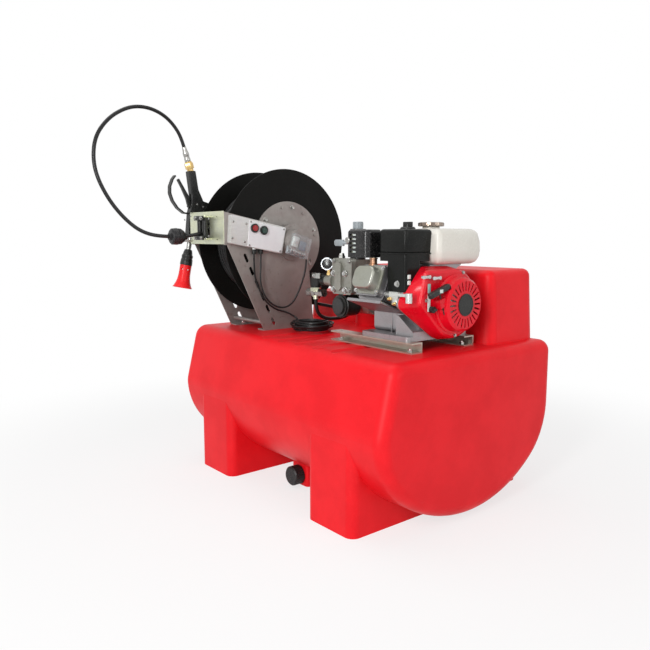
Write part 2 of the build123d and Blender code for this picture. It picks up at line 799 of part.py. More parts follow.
with BuildPart() as pump_head:
    with BuildSketch(front_plane(head_back_y)):
        with Locations((sum(pump_x) / 2, sum(head_z) / 2)):
            RectangleRounded(pump_x[1] - pump_x[0] + 4, head_z[1] - head_z[0], 12)
    extrude(amount=head_back_y - head_y)
    with BuildSketch(front_plane(head_y)):
        with Locations((96, sum(head_z) / 2)):
            SlotOverall(88, 28, rotation=90)
    extrude(amount=8)
    with BuildSketch(front_plane(head_y)):
        for x in (70, 124):
            for z in (642, 692):
                with Locations((x, z)):
                    RegularPolygon(7, 6, major_radius=False)
    extrude(amount=6)
    with Locations((pump_x[0], head_y + 10, port_z)):
        Cylinder(16, port_length, rotation=x_line, align=hang)
        Cylinder(20, 12, rotation=x_line, align=hang)
    with Locations((gauge_x, head_y + 10, port_z)):
        Cylinder(6, gauge_z - port_z - 24, align=stand)
pieces["pump_head"] = pump_head

with BuildPart() as pressure_gauge:
    with Locations((gauge_x, head_y + 14, gauge_z)):
        Cylinder(22, 26, rotation=y_line)
    with Locations((gauge_x, head_y + 1, gauge_z)):
        Cylinder(18, 4, rotation=y_line, mode=Mode.SUBTRACT)
    with Locations((gauge_x, head_y + 10, gauge_z - 24)):
        Cylinder(8, 6, align=stand)
pieces["pressure_gauge"] = pressure_gauge

with BuildPart() as air_chamber:
    with Locations((chamber_x, chamber_back_y, chamber_z)):
        Cylinder(33, chamber_back_y - head_y + 4, rotation=y_line, align=stand)
    with Locations((chamber_x, head_y - 4, chamber_z)):
        Cylinder(26, 4, rotation=y_line, align=stand)
pieces["air_chamber"] = air_chamber

with BuildPart() as pressure_control:
    with Locations((control_x, control_y, control_z[0])):
        Cylinder(24, control_z[1] - control_z[0], align=stand)
    for index in range(5):
        with Locations((control_x, control_y, control_z[0] + 18 + 11 * index)):
            Cylinder(27, 5, align=stand)
    with Locations((control_x - 24, control_y, 785)):
        Cylinder(8, 20, rotation=x_line)
    with Locations((control_x, control_y - 27, 794)):
        Cylinder(9, 14, rotation=y_line)
    with BuildSketch(front_plane(control_y - 34)):
        with Locations((control_x, 794)):
            RegularPolygon(8, 6, major_radius=False)
    extrude(amount=6)
pieces["pressure_control"] = pressure_control

with BuildPart() as pressure_knob:
    with Locations((control_x, control_y, control_z[1])):
        Cylinder(16, 22, align=stand)
    chamfer(edges().filter_by(GeomType.CIRCLE).sort_by(Axis.Z)[-1], 2)
    with BuildSketch(Plane.XY.offset(control_z[1])):
        with Locations((control_x, control_y)):
            with PolarLocations(17, 10):
                Circle(2.5)
    extrude(amount=22, mode=Mode.SUBTRACT)
pieces["pressure_knob"] = pressure_knob

with BuildPart() as bypass_tap:
    with Locations((control_x - 34, control_y, 785)):
        Cylinder(7, 12, rotation=x_line, align=hang)
    with BuildSketch(front_plane(control_y + 3)):
        with Locations((control_x - 54, 785)):
            SlotOverall(34, 20)
    extrude(amount=6)
pieces["bypass_tap"] = bypass_tap

valve_x = pump_x[0] - port_length - 58
with BuildPart() as outlet_valve:
    with Locations((valve_x, head_y + 10, port_z)):
        Cylinder(17, 58, rotation=x_line, align=stand)
        Sphere(17)
        Cylinder(17, 26, align=hang)
        with Locations((20, 0, 0)):
            Box(26, 38, 38)
pieces["outlet_valve"] = outlet_valve

with BuildPart() as outlet_fitting:
    with BuildSketch(Plane.XY.offset(port_z - 26)):
        with Locations((valve_x, head_y + 10)):
            RegularPolygon(15, 6, major_radius=False)
    extrude(amount=-14)
    with Locations((valve_x, head_y + 10, port_z - 40)):
        Cylinder(12, 16, align=hang)
        Cylinder(hose_r + 3, 24, align=hang)
pieces["outlet_fitting"] = outlet_fitting


def cord(points, radius):
    """Round cord through the points, with every corner bent to 0.45 of its shorter run."""
    places = [Vector(*point) for point in points]
    bends = []
    for before, corner, after in zip(places, places[1:], places[2:]):
        turn = (corner - before).get_angle(after - corner)
        shorter = min((corner - before).length, (after - corner).length)
        bends.append(0.45 * shorter / tan(radians(turn / 2)))
    print("bends", [round(bend) for bend in bends])
    with BuildPart() as tube:
        with BuildLine():
            run = FilletPolyline(*places, radius=bends)
        with BuildSketch(Plane(origin=run @ 0, z_dir=run % 0)):
            Circle(radius)
        sweep()
    volume_off = tube.part.volume / (run.length * pi * radius**2) - 1
    print("cord", round(run.length), "mm, volume off by", round(volume_off, 4))
    return tube


swivel_x = far_plate_x - 24
supply_hose = cord(
    [
        (valve_x, head_y + 10, port_z - 64),
        (valve_x, head_y + 10, 560),
        (valve_x, head_y + 50, 534),
        (valve_x - 2, head_y + 110, 532),
        (valve_x - 16, tank_y + 15, 536),
        (valve_x - 60, tank_y + 56, 542),
        (valve_x - 130, tank_y + 72, 548),
        (near_plate_x - 6, tank_y + 68, 552),
        (near_disc_x - 60, tank_y + 64, 556),
        (far_disc_x + 10, tank_y + 58, 556),
        (swivel_x, tank_y + 16, 592),
        (swivel_x - 2, tank_y - 50, 636),
        (swivel_x, reel_y, 694),
        (swivel_x, reel_y, reel_z - 28),
    ],
    hose_r,
)
pieces["supply_hose"] = supply_hose

# ---- Hose reel ----

plate_points = [
    (arm_tip_y, arm_bottom_z - 2),
    (arm_tip_y, arm_top_z - 2),
    (tank_y - 126, 834),
    (tank_y - 60, 826),
    (tank_y - 28, 800),
    (tank_y - 30, 715),
    (tank_y - 8, deck_z + 2),
    (tank_y - 222, deck_z + 2),
    (arm_tip_y + 11, arm_bottom_z - 3),
]


def reel_plate(x, inward):
    """Side plate with its foot bent inward at the deck."""
    with BuildPart() as plate:
        with BuildSketch(side_plane(x)):
            with BuildLine():
                Polyline(*plate_points, close=True)
            make_face()
            with Locations((reel_y, reel_z)):
                Circle(axle_r + slip, mode=Mode.SUBTRACT)
            for index in range(6):
                share = index / 5
                slot = (tank_y - 290 + 106 * share, 734 - 218 * share)
                with Locations(Location((*slot, 0), (0, 0, -64))):
                    SlotOverall(32, 12, mode=Mode.SUBTRACT)
        extrude(amount=sheet)
        inner_x = x if inward < 0 else x + sheet
        with BuildSketch(Plane.XY.offset(deck_z)):
            with Locations((inner_x + inward * 16, tank_y - 115)):
                Rectangle(40, 214)
            for bolt_y in reel_bolt_y:
                with Locations((inner_x + inward * 20, bolt_y)):
                    Circle(reel_bolt_r + gap, mode=Mode.SUBTRACT)
        extrude(amount=sheet)
    return plate


pieces["reel_plate_near"] = reel_plate(near_plate_x - sheet, -1)

lance_tilt = 12
lance_line = Plane(
    origin=(gun_x, tank_y - 364, 803),
    x_dir=(1, 0, 0),
    z_dir=(0, -sin(radians(lance_tilt)), -cos(radians(lance_tilt))),
)
with BuildPart() as reel_plate_far:
    add(reel_plate(far_plate_x, 1).part)
    for y in (tank_y - 24, tank_y - 204):
        with Locations(((near_plate_x + far_plate_x) / 2, y, deck_z + 24)):
            Cylinder(7, near_plate_x - far_plate_x - 2 * sheet, rotation=x_line)
    with Locations((far_plate_x, tank_y - 362, 790)):
        Box(38, 46, 8, align=(Align.MAX, Align.CENTER, Align.CENTER))
    with BuildSketch(lance_line.offset(-40)):
        Circle(lance_r + gap)
    extrude(amount=100, mode=Mode.SUBTRACT)
pieces["reel_plate_far"] = reel_plate_far

reel_axis = Axis((0, reel_y, reel_z), (1, 0, 0))
with BuildPart() as reel_drum:
    with BuildSketch(front_plane(reel_y)):
        with BuildLine():
            Polyline(
                (far_disc_x - disc_thickness, reel_z + axle_r),
                (far_disc_x - disc_thickness, reel_z + disc_r),
                (far_disc_x, reel_z + disc_r),
                (far_disc_x, reel_z + core_r),
                (near_disc_x, reel_z + core_r),
                (near_disc_x, reel_z + disc_r),
                (near_disc_x + disc_thickness, reel_z + disc_r),
                (near_disc_x + disc_thickness, reel_z + axle_r),
                (near_disc_x - 20, reel_z + axle_r),
                (near_disc_x - 20, reel_z + core_r - 4),
                (far_disc_x + 20, reel_z + core_r - 4),
                (far_disc_x + 20, reel_z + axle_r),
                close=True,
            )
        make_face()
    revolve(axis=reel_axis)
pieces["reel_drum"] = reel_drum

with BuildPart() as reel_hubs:
    for x in (near_disc_x + disc_thickness, far_disc_x - disc_thickness - 3):
        with BuildSketch(side_plane(x)):
            with Locations((reel_y, reel_z)):
                Circle(hub_r)
        extrude(amount=3)
        head_x = x + 3 if x > -320 else x
        for turn in range(8):
            angle = radians(45 * turn + 12)
            with BuildSketch(side_plane(head_x if x > -320 else head_x - 4)):
                with Locations((reel_y + 120 * cos(angle), reel_z + 120 * sin(angle))):
                    RegularPolygon(5, 6, major_radius=False)
            extrude(amount=4)
    with Locations((swivel_x - 4, reel_y, reel_z)):
        Cylinder(axle_r, -176 - swivel_x + 4, rotation=x_line, align=stand)
pieces["reel_hubs"] = reel_hubs

with BuildPart() as inlet_swivel:
    with Locations((far_plate_x - 3, reel_y, reel_z)):
        Cylinder(24, 42, rotation=x_line, align=hang)
        Cylinder(axle_r + slip, 25.5, rotation=x_line, align=hang, mode=Mode.SUBTRACT)
    with Locations((swivel_x, reel_y, reel_z - 18)):
        Cylinder(10, 10, align=hang)
    with Locations((far_plate_x, reel_y, reel_z)):
        Cylinder(30, 3, rotation=x_line, align=hang)
        Cylinder(axle_r + slip, 6, rotation=x_line, mode=Mode.SUBTRACT)
pieces["inlet_swivel"] = inlet_swivel

with BuildPart() as hose_winding:
    with BuildSketch(front_plane(reel_y)):
        rows = 11
        pitch = (near_disc_x - far_disc_x - 3) / rows
        row_r = pitch / 2 + 0.2
        with BuildLine():
            Polyline(
                (far_disc_x + 1, reel_z + core_r),
                (far_disc_x + 1, reel_z + winding_r - row_r),
                (near_disc_x - 1, reel_z + winding_r - row_r),
                (near_disc_x - 1, reel_z + core_r),
                close=True,
            )
        make_face()
        for row in range(rows):
            with Locations((far_disc_x + 1.5 + pitch * (row + 0.5), reel_z + winding_r - row_r)):
                Circle(row_r)
    revolve(axis=reel_axis)
pieces["hose_winding"] = hose_winding

with BuildPart() as reel_motor:
    with Locations((near_plate_x, reel_y, reel_z)):
        Cylinder(62, 8, rotation=x_line, align=stand)
        Cylinder(46, 48, rotation=x_line, align=stand)
        Cylinder(axle_r + slip, 80, rotation=x_line, mode=Mode.SUBTRACT)
pieces["reel_motor"] = reel_motor

# ---- Roller guide ----

box_x = (far_plate_x, near_plate_x)
with BuildPart() as roller_bracket:
    with BuildSketch(front_plane(arm_tip_y)):
        with Locations((sum(box_x) / 2, (arm_bottom_z + arm_top_z) / 2)):
            Rectangle(box_x[1] - box_x[0], arm_top_z - arm_bottom_z)
        with Locations((window_x, window_z)):
            RectangleRounded(46, 60, 4, mode=Mode.SUBTRACT)
        for x in (window_x - 70, window_x + 70):
            for z in (window_z - 38, window_z + 34):
                with Locations((x, z)):
                    Circle(3, mode=Mode.SUBTRACT)
    extrude(amount=sheet)
    for side in (-1, 1):
        with Locations((window_x + side * 30, arm_tip_y, window_z)):
            Box(sheet, 30, 66, align=(Align.CENTER, Align.MIN, Align.CENTER))
    for x in (far_plate_x + sheet, near_plate_x - 2 * sheet):
        with Locations((x, arm_tip_y, (arm_bottom_z + arm_top_z) / 2)):
            Box(sheet, 25, 92, align=(Align.MIN, Align.MIN, Align.CENTER))
    cage_y = arm_tip_y - sheet
    for side in (-1, 1):
        with Locations((window_x, cage_y, window_z + side * 36)):
            Box(64, 26, sheet, align=(Align.CENTER, Align.MAX, Align.CENTER))
    for side in (-1, 1):
        with Locations((window_x + side * 17, cage_y - 14, window_z)):
            Cylinder(4, 80)
        with Locations((window_x, arm_tip_y + 16, window_z + side * 19)):
            Cylinder(4, 70, rotation=x_line)
pieces["roller_bracket"] = roller_bracket

for name, x, y, z, length, turn in (
    ("roller_left", window_x - 17, cage_y - 14, window_z, 66, (0, 0, 0)),
    ("roller_right", window_x + 17, cage_y - 14, window_z, 66, (0, 0, 0)),
    ("roller_top", window_x, arm_tip_y + 16, window_z + 19, 54, x_line),
    ("roller_bottom", window_x, arm_tip_y + 16, window_z - 19, 54, x_line),
):
    with BuildPart() as roller:
        with Locations(Location((x, y, z), turn)):
            Cylinder(roller_r, length)
            Cylinder(4 + slip, 100, mode=Mode.SUBTRACT)
    pieces[name] = roller

# ---- Reel controls ----

panel_corners = [
    (tank_y - 356, 875),
    (tank_y - 143, 835),
    (tank_y - 161, 747),
    (tank_y - 362, 784),
]
panel_depth = 22
button_places = ((tank_y - 272, 832), (tank_y - 236, 825))
gland_y = (tank_y - 267, tank_y - 240)
gland_z = 747
with BuildPart() as control_box:
    with BuildSketch(side_plane(near_plate_x)):
        with BuildLine():
            Polyline(*panel_corners, close=True)
        make_face()
        fillet(vertices(), 5)
    extrude(amount=panel_depth)
    for y, z in button_places:
        with Locations((near_plate_x + panel_depth, y, z)):
            Cylinder(5 + gap, 30, rotation=x_line, mode=Mode.SUBTRACT)
    with Locations((near_plate_x, reel_y, reel_z)):
        Cylinder(62 + gap, 2 * (8 + gap), rotation=x_line, mode=Mode.SUBTRACT)
    for y in gland_y:
        with Locations((near_plate_x + panel_depth / 2, y, gland_z)):
            Cylinder(6, 24, align=stand)
pieces["control_box"] = control_box

face_x = near_plate_x + panel_depth
for name, (y, z) in zip(("button_wind_in", "button_stop"), button_places):
    with BuildPart() as button:
        with Locations((face_x + 2, y, z)):
            Cylinder(10, 7, rotation=x_line, align=stand)
        with Locations((face_x - 12, y, z)):
            Cylinder(5, 15, rotation=x_line, align=stand)
    pieces[name] = button

relay_x = near_plate_x + 48
relay_turn = Location((relay_x, reel_y - 4, 772), (-17, 0, 0))
with BuildPart() as relay_box:
    with Locations(relay_turn):
        Box(30, 80, 72, align=(Align.MIN, Align.CENTER, Align.CENTER))
    fillet(edges().filter_by(Axis.X), 5)
pieces["relay_box"] = relay_box

# Cables, and the spare length coiled on the deck
coil_x, coil_y, cable_r = tank_y - 141, tank_y - 104, 3
coil_z = deck_z + 5
with BuildPart() as cable_coil:
    with BuildSketch(front_plane(coil_y)):
        for column in range(4):
            for row in range(4):
                with Locations((coil_x + 45 + 7.5 * column + 2 * (row % 2), coil_z + 8 * row)):
                    Circle(4.6)
    revolve(axis=Axis((coil_x, coil_y, 0), (0, 0, 1)))
pieces["cable_coil"] = cable_coil

cable_x = near_plate_x + panel_depth / 2
control_cable = cord(
    [
        (cable_x, gland_y[0], gland_z - gap),
        (cable_x, gland_y[0], gland_z - 35),
        (cable_x - 4, tank_y - 262, 670),
        (cable_x - 5, tank_y - 245, 628),
        (cable_x - 4, tank_y - 222, 588),
        (cable_x, tank_y - 185, 558),
        (-190, tank_y - 140, 545),
        (-172, tank_y - 108, 520),
    ],
    cable_r,
)
pieces["control_cable"] = control_cable

relay_cable = cord(
    [
        (cable_x, gland_y[1], gland_z - gap),
        (cable_x, gland_y[1], gland_z - 40),
        (cable_x + 3, tank_y - 246, 662),
        (cable_x + 4, tank_y - 236, 618),
        (cable_x + 7, tank_y - 213, 585),
        (cable_x + 13, tank_y - 186, 567),
        (cable_x + 20, tank_y - 158, 563),
        (cable_x + 27, tank_y - 134, 574),
        (cable_x + 33, tank_y - 116, 602),
        (relay_x + 4, tank_y - 100, 645),
        (relay_x + 11, tank_y - 88, 692),
        (relay_x + 12, tank_y - 86, 726.5),
    ],
    cable_r,
)
pieces["relay_cable"] = relay_cable

# ---- Spray gun and its hose ----

trigger_pivot = (tank_y - 366, 909)
ferrule_tilt = 16
ferrule_line = Plane(
    origin=(gun_x, tank_y - 357.5, 1029.5),
    x_dir=(1, 0, 0),
    z_dir=(0, -sin(radians(ferrule_tilt)), cos(radians(ferrule_tilt))),
)  # the hose leaves the gun along this plane's normal
with BuildPart() as gun_body:
    with BuildSketch(side_plane(gun_x - gun_half_width)):
        with BuildLine():
            Polyline(
                (tank_y - 371, 1028),
                (tank_y - 344, 1030),
                (tank_y - 334, 966),
                (tank_y - 316, 927),
                (tank_y - 294, 921),
                (tank_y - 286, 906),
                (tank_y - 300, 880),
                (tank_y - 350, 802),
                (tank_y - 380, 806),
                (tank_y - 371, 885),
                (tank_y - 363, 913),
                (tank_y - 361, 947),
                close=True,
            )
        make_face()
        fillet(vertices(), 4)
    extrude(amount=2 * gun_half_width)
    fillet(faces().filter_by(Axis.X).edges(), 3)
    with Locations((gun_x, tank_y - 365, 926)):
        Box(10.6, 30, 52, mode=Mode.SUBTRACT)
    with BuildSketch(ferrule_line.offset(-8)):
        Circle(11 + slip)
    extrude(amount=40, mode=Mode.SUBTRACT)
    with Locations((gun_x, *trigger_pivot)):
        Cylinder(3 + slip, 100, rotation=x_line, mode=Mode.SUBTRACT)
pieces["gun_body"] = gun_body

with BuildPart() as gun_trigger:
    with BuildSketch(side_plane(gun_x - 5)):
        with BuildLine():
            Polyline(
                (tank_y - 371, 905),
                (tank_y - 378, 933),
                (tank_y - 395, 970),
                (tank_y - 410, 997),
                (tank_y - 404, 1001),
                (tank_y - 387, 973),
                (tank_y - 369, 944),
                (tank_y - 361, 911),
                close=True,
            )
        make_face()
        with Locations(trigger_pivot):
            Circle(6)
    extrude(amount=10)
    with Locations((gun_x, *trigger_pivot)):
        Cylinder(3, 2 * gun_half_width, rotation=x_line)
pieces["gun_trigger"] = gun_trigger

with BuildPart() as gun_guard:
    with BuildSketch(side_plane(gun_x - 9)):
        with BuildLine():
            FilletPolyline(
                (tank_y - 372, 884),
                (tank_y - 390, 885),
                (tank_y - 413, 902),
                (tank_y - 430, 925),
                (tank_y - 439, 951),
                (tank_y - 438, 974),
                (tank_y - 428, 998),
                (tank_y - 418, 1010),
                radius=12,
            )
        trace(line_width=5)
    extrude(amount=18)
pieces["gun_guard"] = gun_guard

lance_length = 96
with BuildPart() as lance:
    with BuildSketch(lance_line.offset(1)):
        Circle(lance_r)
    extrude(amount=lance_length)
    with BuildSketch(lance_line.offset(52)):
        Circle(13)
    with BuildSketch(lance_line.offset(66)):
        Circle(18)
    with BuildSketch(lance_line.offset(lance_length + 4)):
        Circle(20)
    loft(ruled=True)
pieces["lance"] = lance

cone_start = lance_length + 4
cone_length = 80
throat_r, mouth_r, bell_wall = 20, 34.5, 3
bell_plane = Plane(
    origin=lance_line.offset(cone_start).origin, x_dir=lance_line.z_dir, z_dir=(1, 0, 0)
)  # its X runs down the lance's axis
with BuildPart() as nozzle:
    with BuildSketch(bell_plane):
        with BuildLine():
            flare = Spline(
                (cone_length * 0.3, throat_r),
                (cone_length, mouth_r),
                tangents=((1, 0), (1, 0.7)),
            )
            Polyline(flare @ 1, (cone_length, mouth_r - bell_wall))
            inner_flare = Spline(
                (cone_length, mouth_r - bell_wall),
                (cone_length * 0.3, throat_r - bell_wall),
                tangents=((-1, -0.7), (-1, 0)),
            )
            Polyline(
                inner_flare @ 1,
                (6, throat_r - bell_wall),
                (6, 0),
                (0, 0),
                (0, throat_r),
                flare @ 0,
            )
        make_face()
    revolve(axis=Axis(bell_plane.origin, bell_plane.x_dir))
    for index in range(3):
        with Locations(lance_line.offset(cone_start + 15) * Location((0, 0, 0), (0, 0, 60 * index))):
            Cylinder(3, 80, rotation=x_line, mode=Mode.SUBTRACT)
pieces["nozzle"] = nozzle

ferrule_end = 70
with BuildPart() as hose_ferrule:
    with BuildSketch(ferrule_line.offset(gap - 8)):
        Circle(11)
    extrude(amount=18)
    with BuildSketch(ferrule_line.offset(8)):
        RegularPolygon(13, 6, major_radius=False)
    extrude(amount=20)
    with BuildSketch(ferrule_line.offset(28)):
        Circle(9.5)
    extrude(amount=ferrule_end - 28)
pieces["hose_ferrule"] = hose_ferrule

wrap_r = (winding_r + hose_r + gap) / cos(radians(10)) + 0.2
wrap = [
    (window_x + index, reel_y + wrap_r * cos(radians(turn)), reel_z + wrap_r * sin(radians(turn)))
    for index, turn in enumerate((118.6, 98.6, 78.6, 58.6, 38.6))
]
ball_from = Vector(-333, tank_y - 538, 804)
ball_to = Vector(window_x - 2, tank_y - 420, 806)
spray_hose = cord(
    [
        ferrule_line.offset(ferrule_end).origin,
        ferrule_line.offset(ferrule_end + 42).origin,
        (-449, tank_y - 418, 1175),
        (-440, tank_y - 458, 1203),
        (-430, tank_y - 508, 1218),
        (-420, tank_y - 561, 1218),
        (-410, tank_y - 611, 1202),
        (-400, tank_y - 665, 1167),
        (-390, tank_y - 710, 1112),
        (-382, tank_y - 725, 1049),
        (-374, tank_y - 720, 988),
        (-362, tank_y - 690, 918),
        (-350, tank_y - 648, 861),
        (-342, tank_y - 598, 820),
        ball_from,
        ball_to,
        (window_x, tank_y - 352, 833),
        (window_x, tank_y - 276, 896),
        *wrap,
    ],
    hose_r,
)
pieces["spray_hose"] = spray_hose

ball_dir = (ball_to - ball_from).normalized()
ball_plane = Plane(
    origin=(ball_from + ball_to) * 0.5, x_dir=ball_dir, z_dir=Vector(1, 0, 0).cross(ball_dir)
)  # its X runs along the hose
with BuildPart() as ball_stop:
    with BuildSketch(ball_plane):
        with BuildLine():
            Polyline(
                (-30, hose_r),
                (-30, 11),
                (-24, 12),
                (-23, 22),
                (-19, 26),
                (-3, 27),
                (-2, 24),
                (1, 24),
                (2, 26),
                (11, 25),
                (21, 18),
                (24, 12),
                (32, 11),
                (32, hose_r),
                close=True,
            )
        make_face()
    revolve(axis=Axis(ball_plane.origin, ball_dir))
pieces["ball_stop"] = ball_stop

for name, piece in pieces.items():
    piece.part.label = name
    export_step(piece.part, f"parts/{name}.step")
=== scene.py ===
import math

import bmesh
import bpy
from mathutils import Matrix, Vector


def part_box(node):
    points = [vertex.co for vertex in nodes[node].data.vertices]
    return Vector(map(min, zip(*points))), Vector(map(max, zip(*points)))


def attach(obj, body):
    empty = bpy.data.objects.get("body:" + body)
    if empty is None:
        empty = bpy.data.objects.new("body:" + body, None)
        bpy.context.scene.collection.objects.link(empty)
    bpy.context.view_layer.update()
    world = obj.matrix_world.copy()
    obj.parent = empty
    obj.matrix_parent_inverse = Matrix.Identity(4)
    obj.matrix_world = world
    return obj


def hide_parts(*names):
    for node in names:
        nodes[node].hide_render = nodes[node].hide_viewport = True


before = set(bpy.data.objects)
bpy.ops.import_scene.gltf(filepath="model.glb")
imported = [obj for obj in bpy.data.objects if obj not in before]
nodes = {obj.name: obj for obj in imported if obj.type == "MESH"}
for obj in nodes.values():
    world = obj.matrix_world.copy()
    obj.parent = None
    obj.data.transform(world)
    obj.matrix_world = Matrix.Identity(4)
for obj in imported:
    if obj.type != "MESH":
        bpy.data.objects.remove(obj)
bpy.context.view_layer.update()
tankY = 0.037  # the tank's middle, because the gun hangs out in front of the origin
print("frame loaded")

# camera
view = {
    "place": (1.676, -1.461, 0.807),
    "below": 0.132,  # radians below level
    "turn": 0.886,
    "lens": 37.2,
}
cameraData = bpy.data.cameras.new("camera")
cameraData.lens = view["lens"]
cameraObject = bpy.data.objects.new("camera", cameraData)
cameraObject.location = view["place"]
cameraObject.rotation_euler = (math.pi / 2 - view["below"], 0, view["turn"])
bpy.context.scene.collection.objects.link(cameraObject)
bpy.context.scene.camera = cameraObject
print("camera placed")


# materials
class Wire:
    # one socket; an expression on wires adds the Math nodes that it needs
    def __init__(self, bench, socket):
        self.bench = bench
        self.socket = socket

    def maths(self, operation, *values):
        return self.bench.node("ShaderNodeMath", {"operation": operation}, dict(enumerate(values)))

    def __add__(self, other):
        return self.maths("ADD", self, other)

    def __radd__(self, other):
        return self.maths("ADD", other, self)

    def __sub__(self, other):
        return self.maths("SUBTRACT", self, other)

    def __rsub__(self, other):
        return self.maths("SUBTRACT", other, self)

    def __mul__(self, other):
        return self.maths("MULTIPLY", self, other)

    def __rmul__(self, other):
        return self.maths("MULTIPLY", other, self)


class Bench:
    # the node tree of one material or world
    def __init__(self, tree):
        self.tree = tree
        self.place = None

    def node(self, kind, settings, values, output=0):
        made = self.tree.nodes.new(kind)
        for name, value in settings.items():
            setattr(made, name, value)
        for name, value in values.items():
            if isinstance(value, Wire):
                self.tree.links.new(value.socket, made.inputs[name])
            else:
                made.inputs[name].default_value = value
        return Wire(self, made.outputs[output])

    def noise(self, size, detail=3.0, stretch=(1, 1, 1), shift=0.0):
        # size is how many grains stand in a metre
        if self.place is None:
            self.place = self.node("ShaderNodeTexCoord", {}, {}, "Object")
        spot = {"Vector": self.place, "Scale": stretch, "Location": (shift, shift, shift)}
        moved = self.node("ShaderNodeMapping", {}, spot)
        grain = {"Vector": moved, "Scale": size, "Detail": detail, "Roughness": 0.6}
        return self.node("ShaderNodeTexNoise", {}, grain)

    def step(self, wire, low, high):
        # 0 below low, 1 above high and smooth between
        settings = {"interpolation_type": "SMOOTHSTEP"}
        return self.node("ShaderNodeMapRange", settings, {0: wire, 1: low, 2: high})

    def blend(self, share, first, second):
        values = {0: share}
        for place, colour in ((6, first), (7, second)):
            values[place] = colour if isinstance(colour, Wire) else (*colour, 1)
        return self.node("ShaderNodeMix", {"data_type": "RGBA"}, values, 2)

    def bump(self, height, depth, under=None):
        values = {"Height": height, "Strength": 1.0, "Distance": depth}
        if under is not None:
            values["Normal"] = under
        return self.node("ShaderNodeBump", {}, values)


def startFinish(name, metal=0.0, coat=0.0, gloss=0.5):
    material = bpy.data.materials.new(name)
    material.use_nodes = True
    shader = material.node_tree.nodes["Principled BSDF"]
    shader.inputs["Metallic"].default_value = metal
    shader.inputs["Coat Weight"].default_value = coat
    shader.inputs["Coat Roughness"].default_value = 0.15
    shader.inputs["Specular IOR Level"].default_value = gloss
    return material, shader, Bench(material.node_tree)


def wireUp(shader, links):
    for name, wire in links.items():
        wire.bench.tree.links.new(wire.socket, shader.inputs[name])


def mouldedPlastic(name, look):
    # even colour, with a fine moulded grain and faint clouds where the skin is thinner
    material, shader, bench = startFinish(name, coat=look.get("coat", 0.0), gloss=look.get("gloss", 0.5))
    cloud = bench.step(bench.noise(look.get("clouds", 9), 4), 0.36, 0.66)
    speck = bench.step(bench.noise(look["grain"] * 0.5, 2, shift=4), 0.52, 0.7)
    colour = bench.blend(cloud, look["colour"], look["shade"])
    colour = bench.blend(speck * look.get("specks", 0.12), colour, look.get("dust", (0.5, 0.48, 0.46)))
    low, high = look["rough"]
    rough = (cloud * 0.6 + speck * 0.4) * (high - low) + low
    skin = bench.bump(bench.noise(look["grain"], 2), look["depth"])
    if look.get("waves"):
        skin = bench.bump(bench.noise(look.get("clouds", 9), 1, shift=7), look["waves"], skin)
    wireUp(shader, {"Base Color": colour, "Roughness": rough, "Normal": skin})
    return material


def platedSteel(name, look):
    # zinc or bare steel: streaks along the rolling, finger marks, fine scratches and dull spots
    material, shader, bench = startFinish(name, metal=look.get("metal", 1.0), gloss=look.get("gloss", 0.5))
    streak = bench.step(bench.noise(look["grain"], 3, stretch=look.get("rolled", (1, 1, 14))), 0.35, 0.65)
    mark = bench.step(bench.noise(look.get("marks", 26), 5, shift=2), 0.45, 0.62)
    spot = bench.step(bench.noise(look.get("spots", 170), 2, shift=9), 0.6, 0.72)
    colour = bench.blend(streak * 0.45, look["colour"], look["shade"])
    colour = bench.blend(mark * look.get("tarnish", 0.5), colour, look["tone"])
    colour = bench.blend(spot * 0.5, colour, look["shade"])
    low, high = look["rough"]
    rough = (mark * 0.6 + streak * 0.4) * (high - low) + low
    skin = bench.bump(streak, look["depth"], bench.bump(spot, look["depth"] * 2))
    wireUp(shader, {"Base Color": colour, "Roughness": rough, "Normal": skin})
    return material


def castMetal(name, look):
    # sand-cast skin: coarse grain under thin paint or bare, darker in its hollows
    material, shader, bench = startFinish(name, metal=look.get("metal", 0.9), gloss=look.get("gloss", 0.5))
    skin = bench.noise(look["grain"], 4)
    pit = bench.step(skin, 0.3, 0.5)
    stain = bench.step(bench.noise(14, 5, shift=3), 0.42, 0.7)
    colour = bench.blend(1 - pit, look["colour"], look["shade"])
    colour = bench.blend(stain * look.get("stain", 0.5), colour, look["tone"])
    low, high = look["rough"]
    rough = (1 - pit) * (high - low) + low
    wireUp(shader, {"Base Color": colour, "Roughness": rough, "Normal": bench.bump(skin, look["depth"])})
    return material


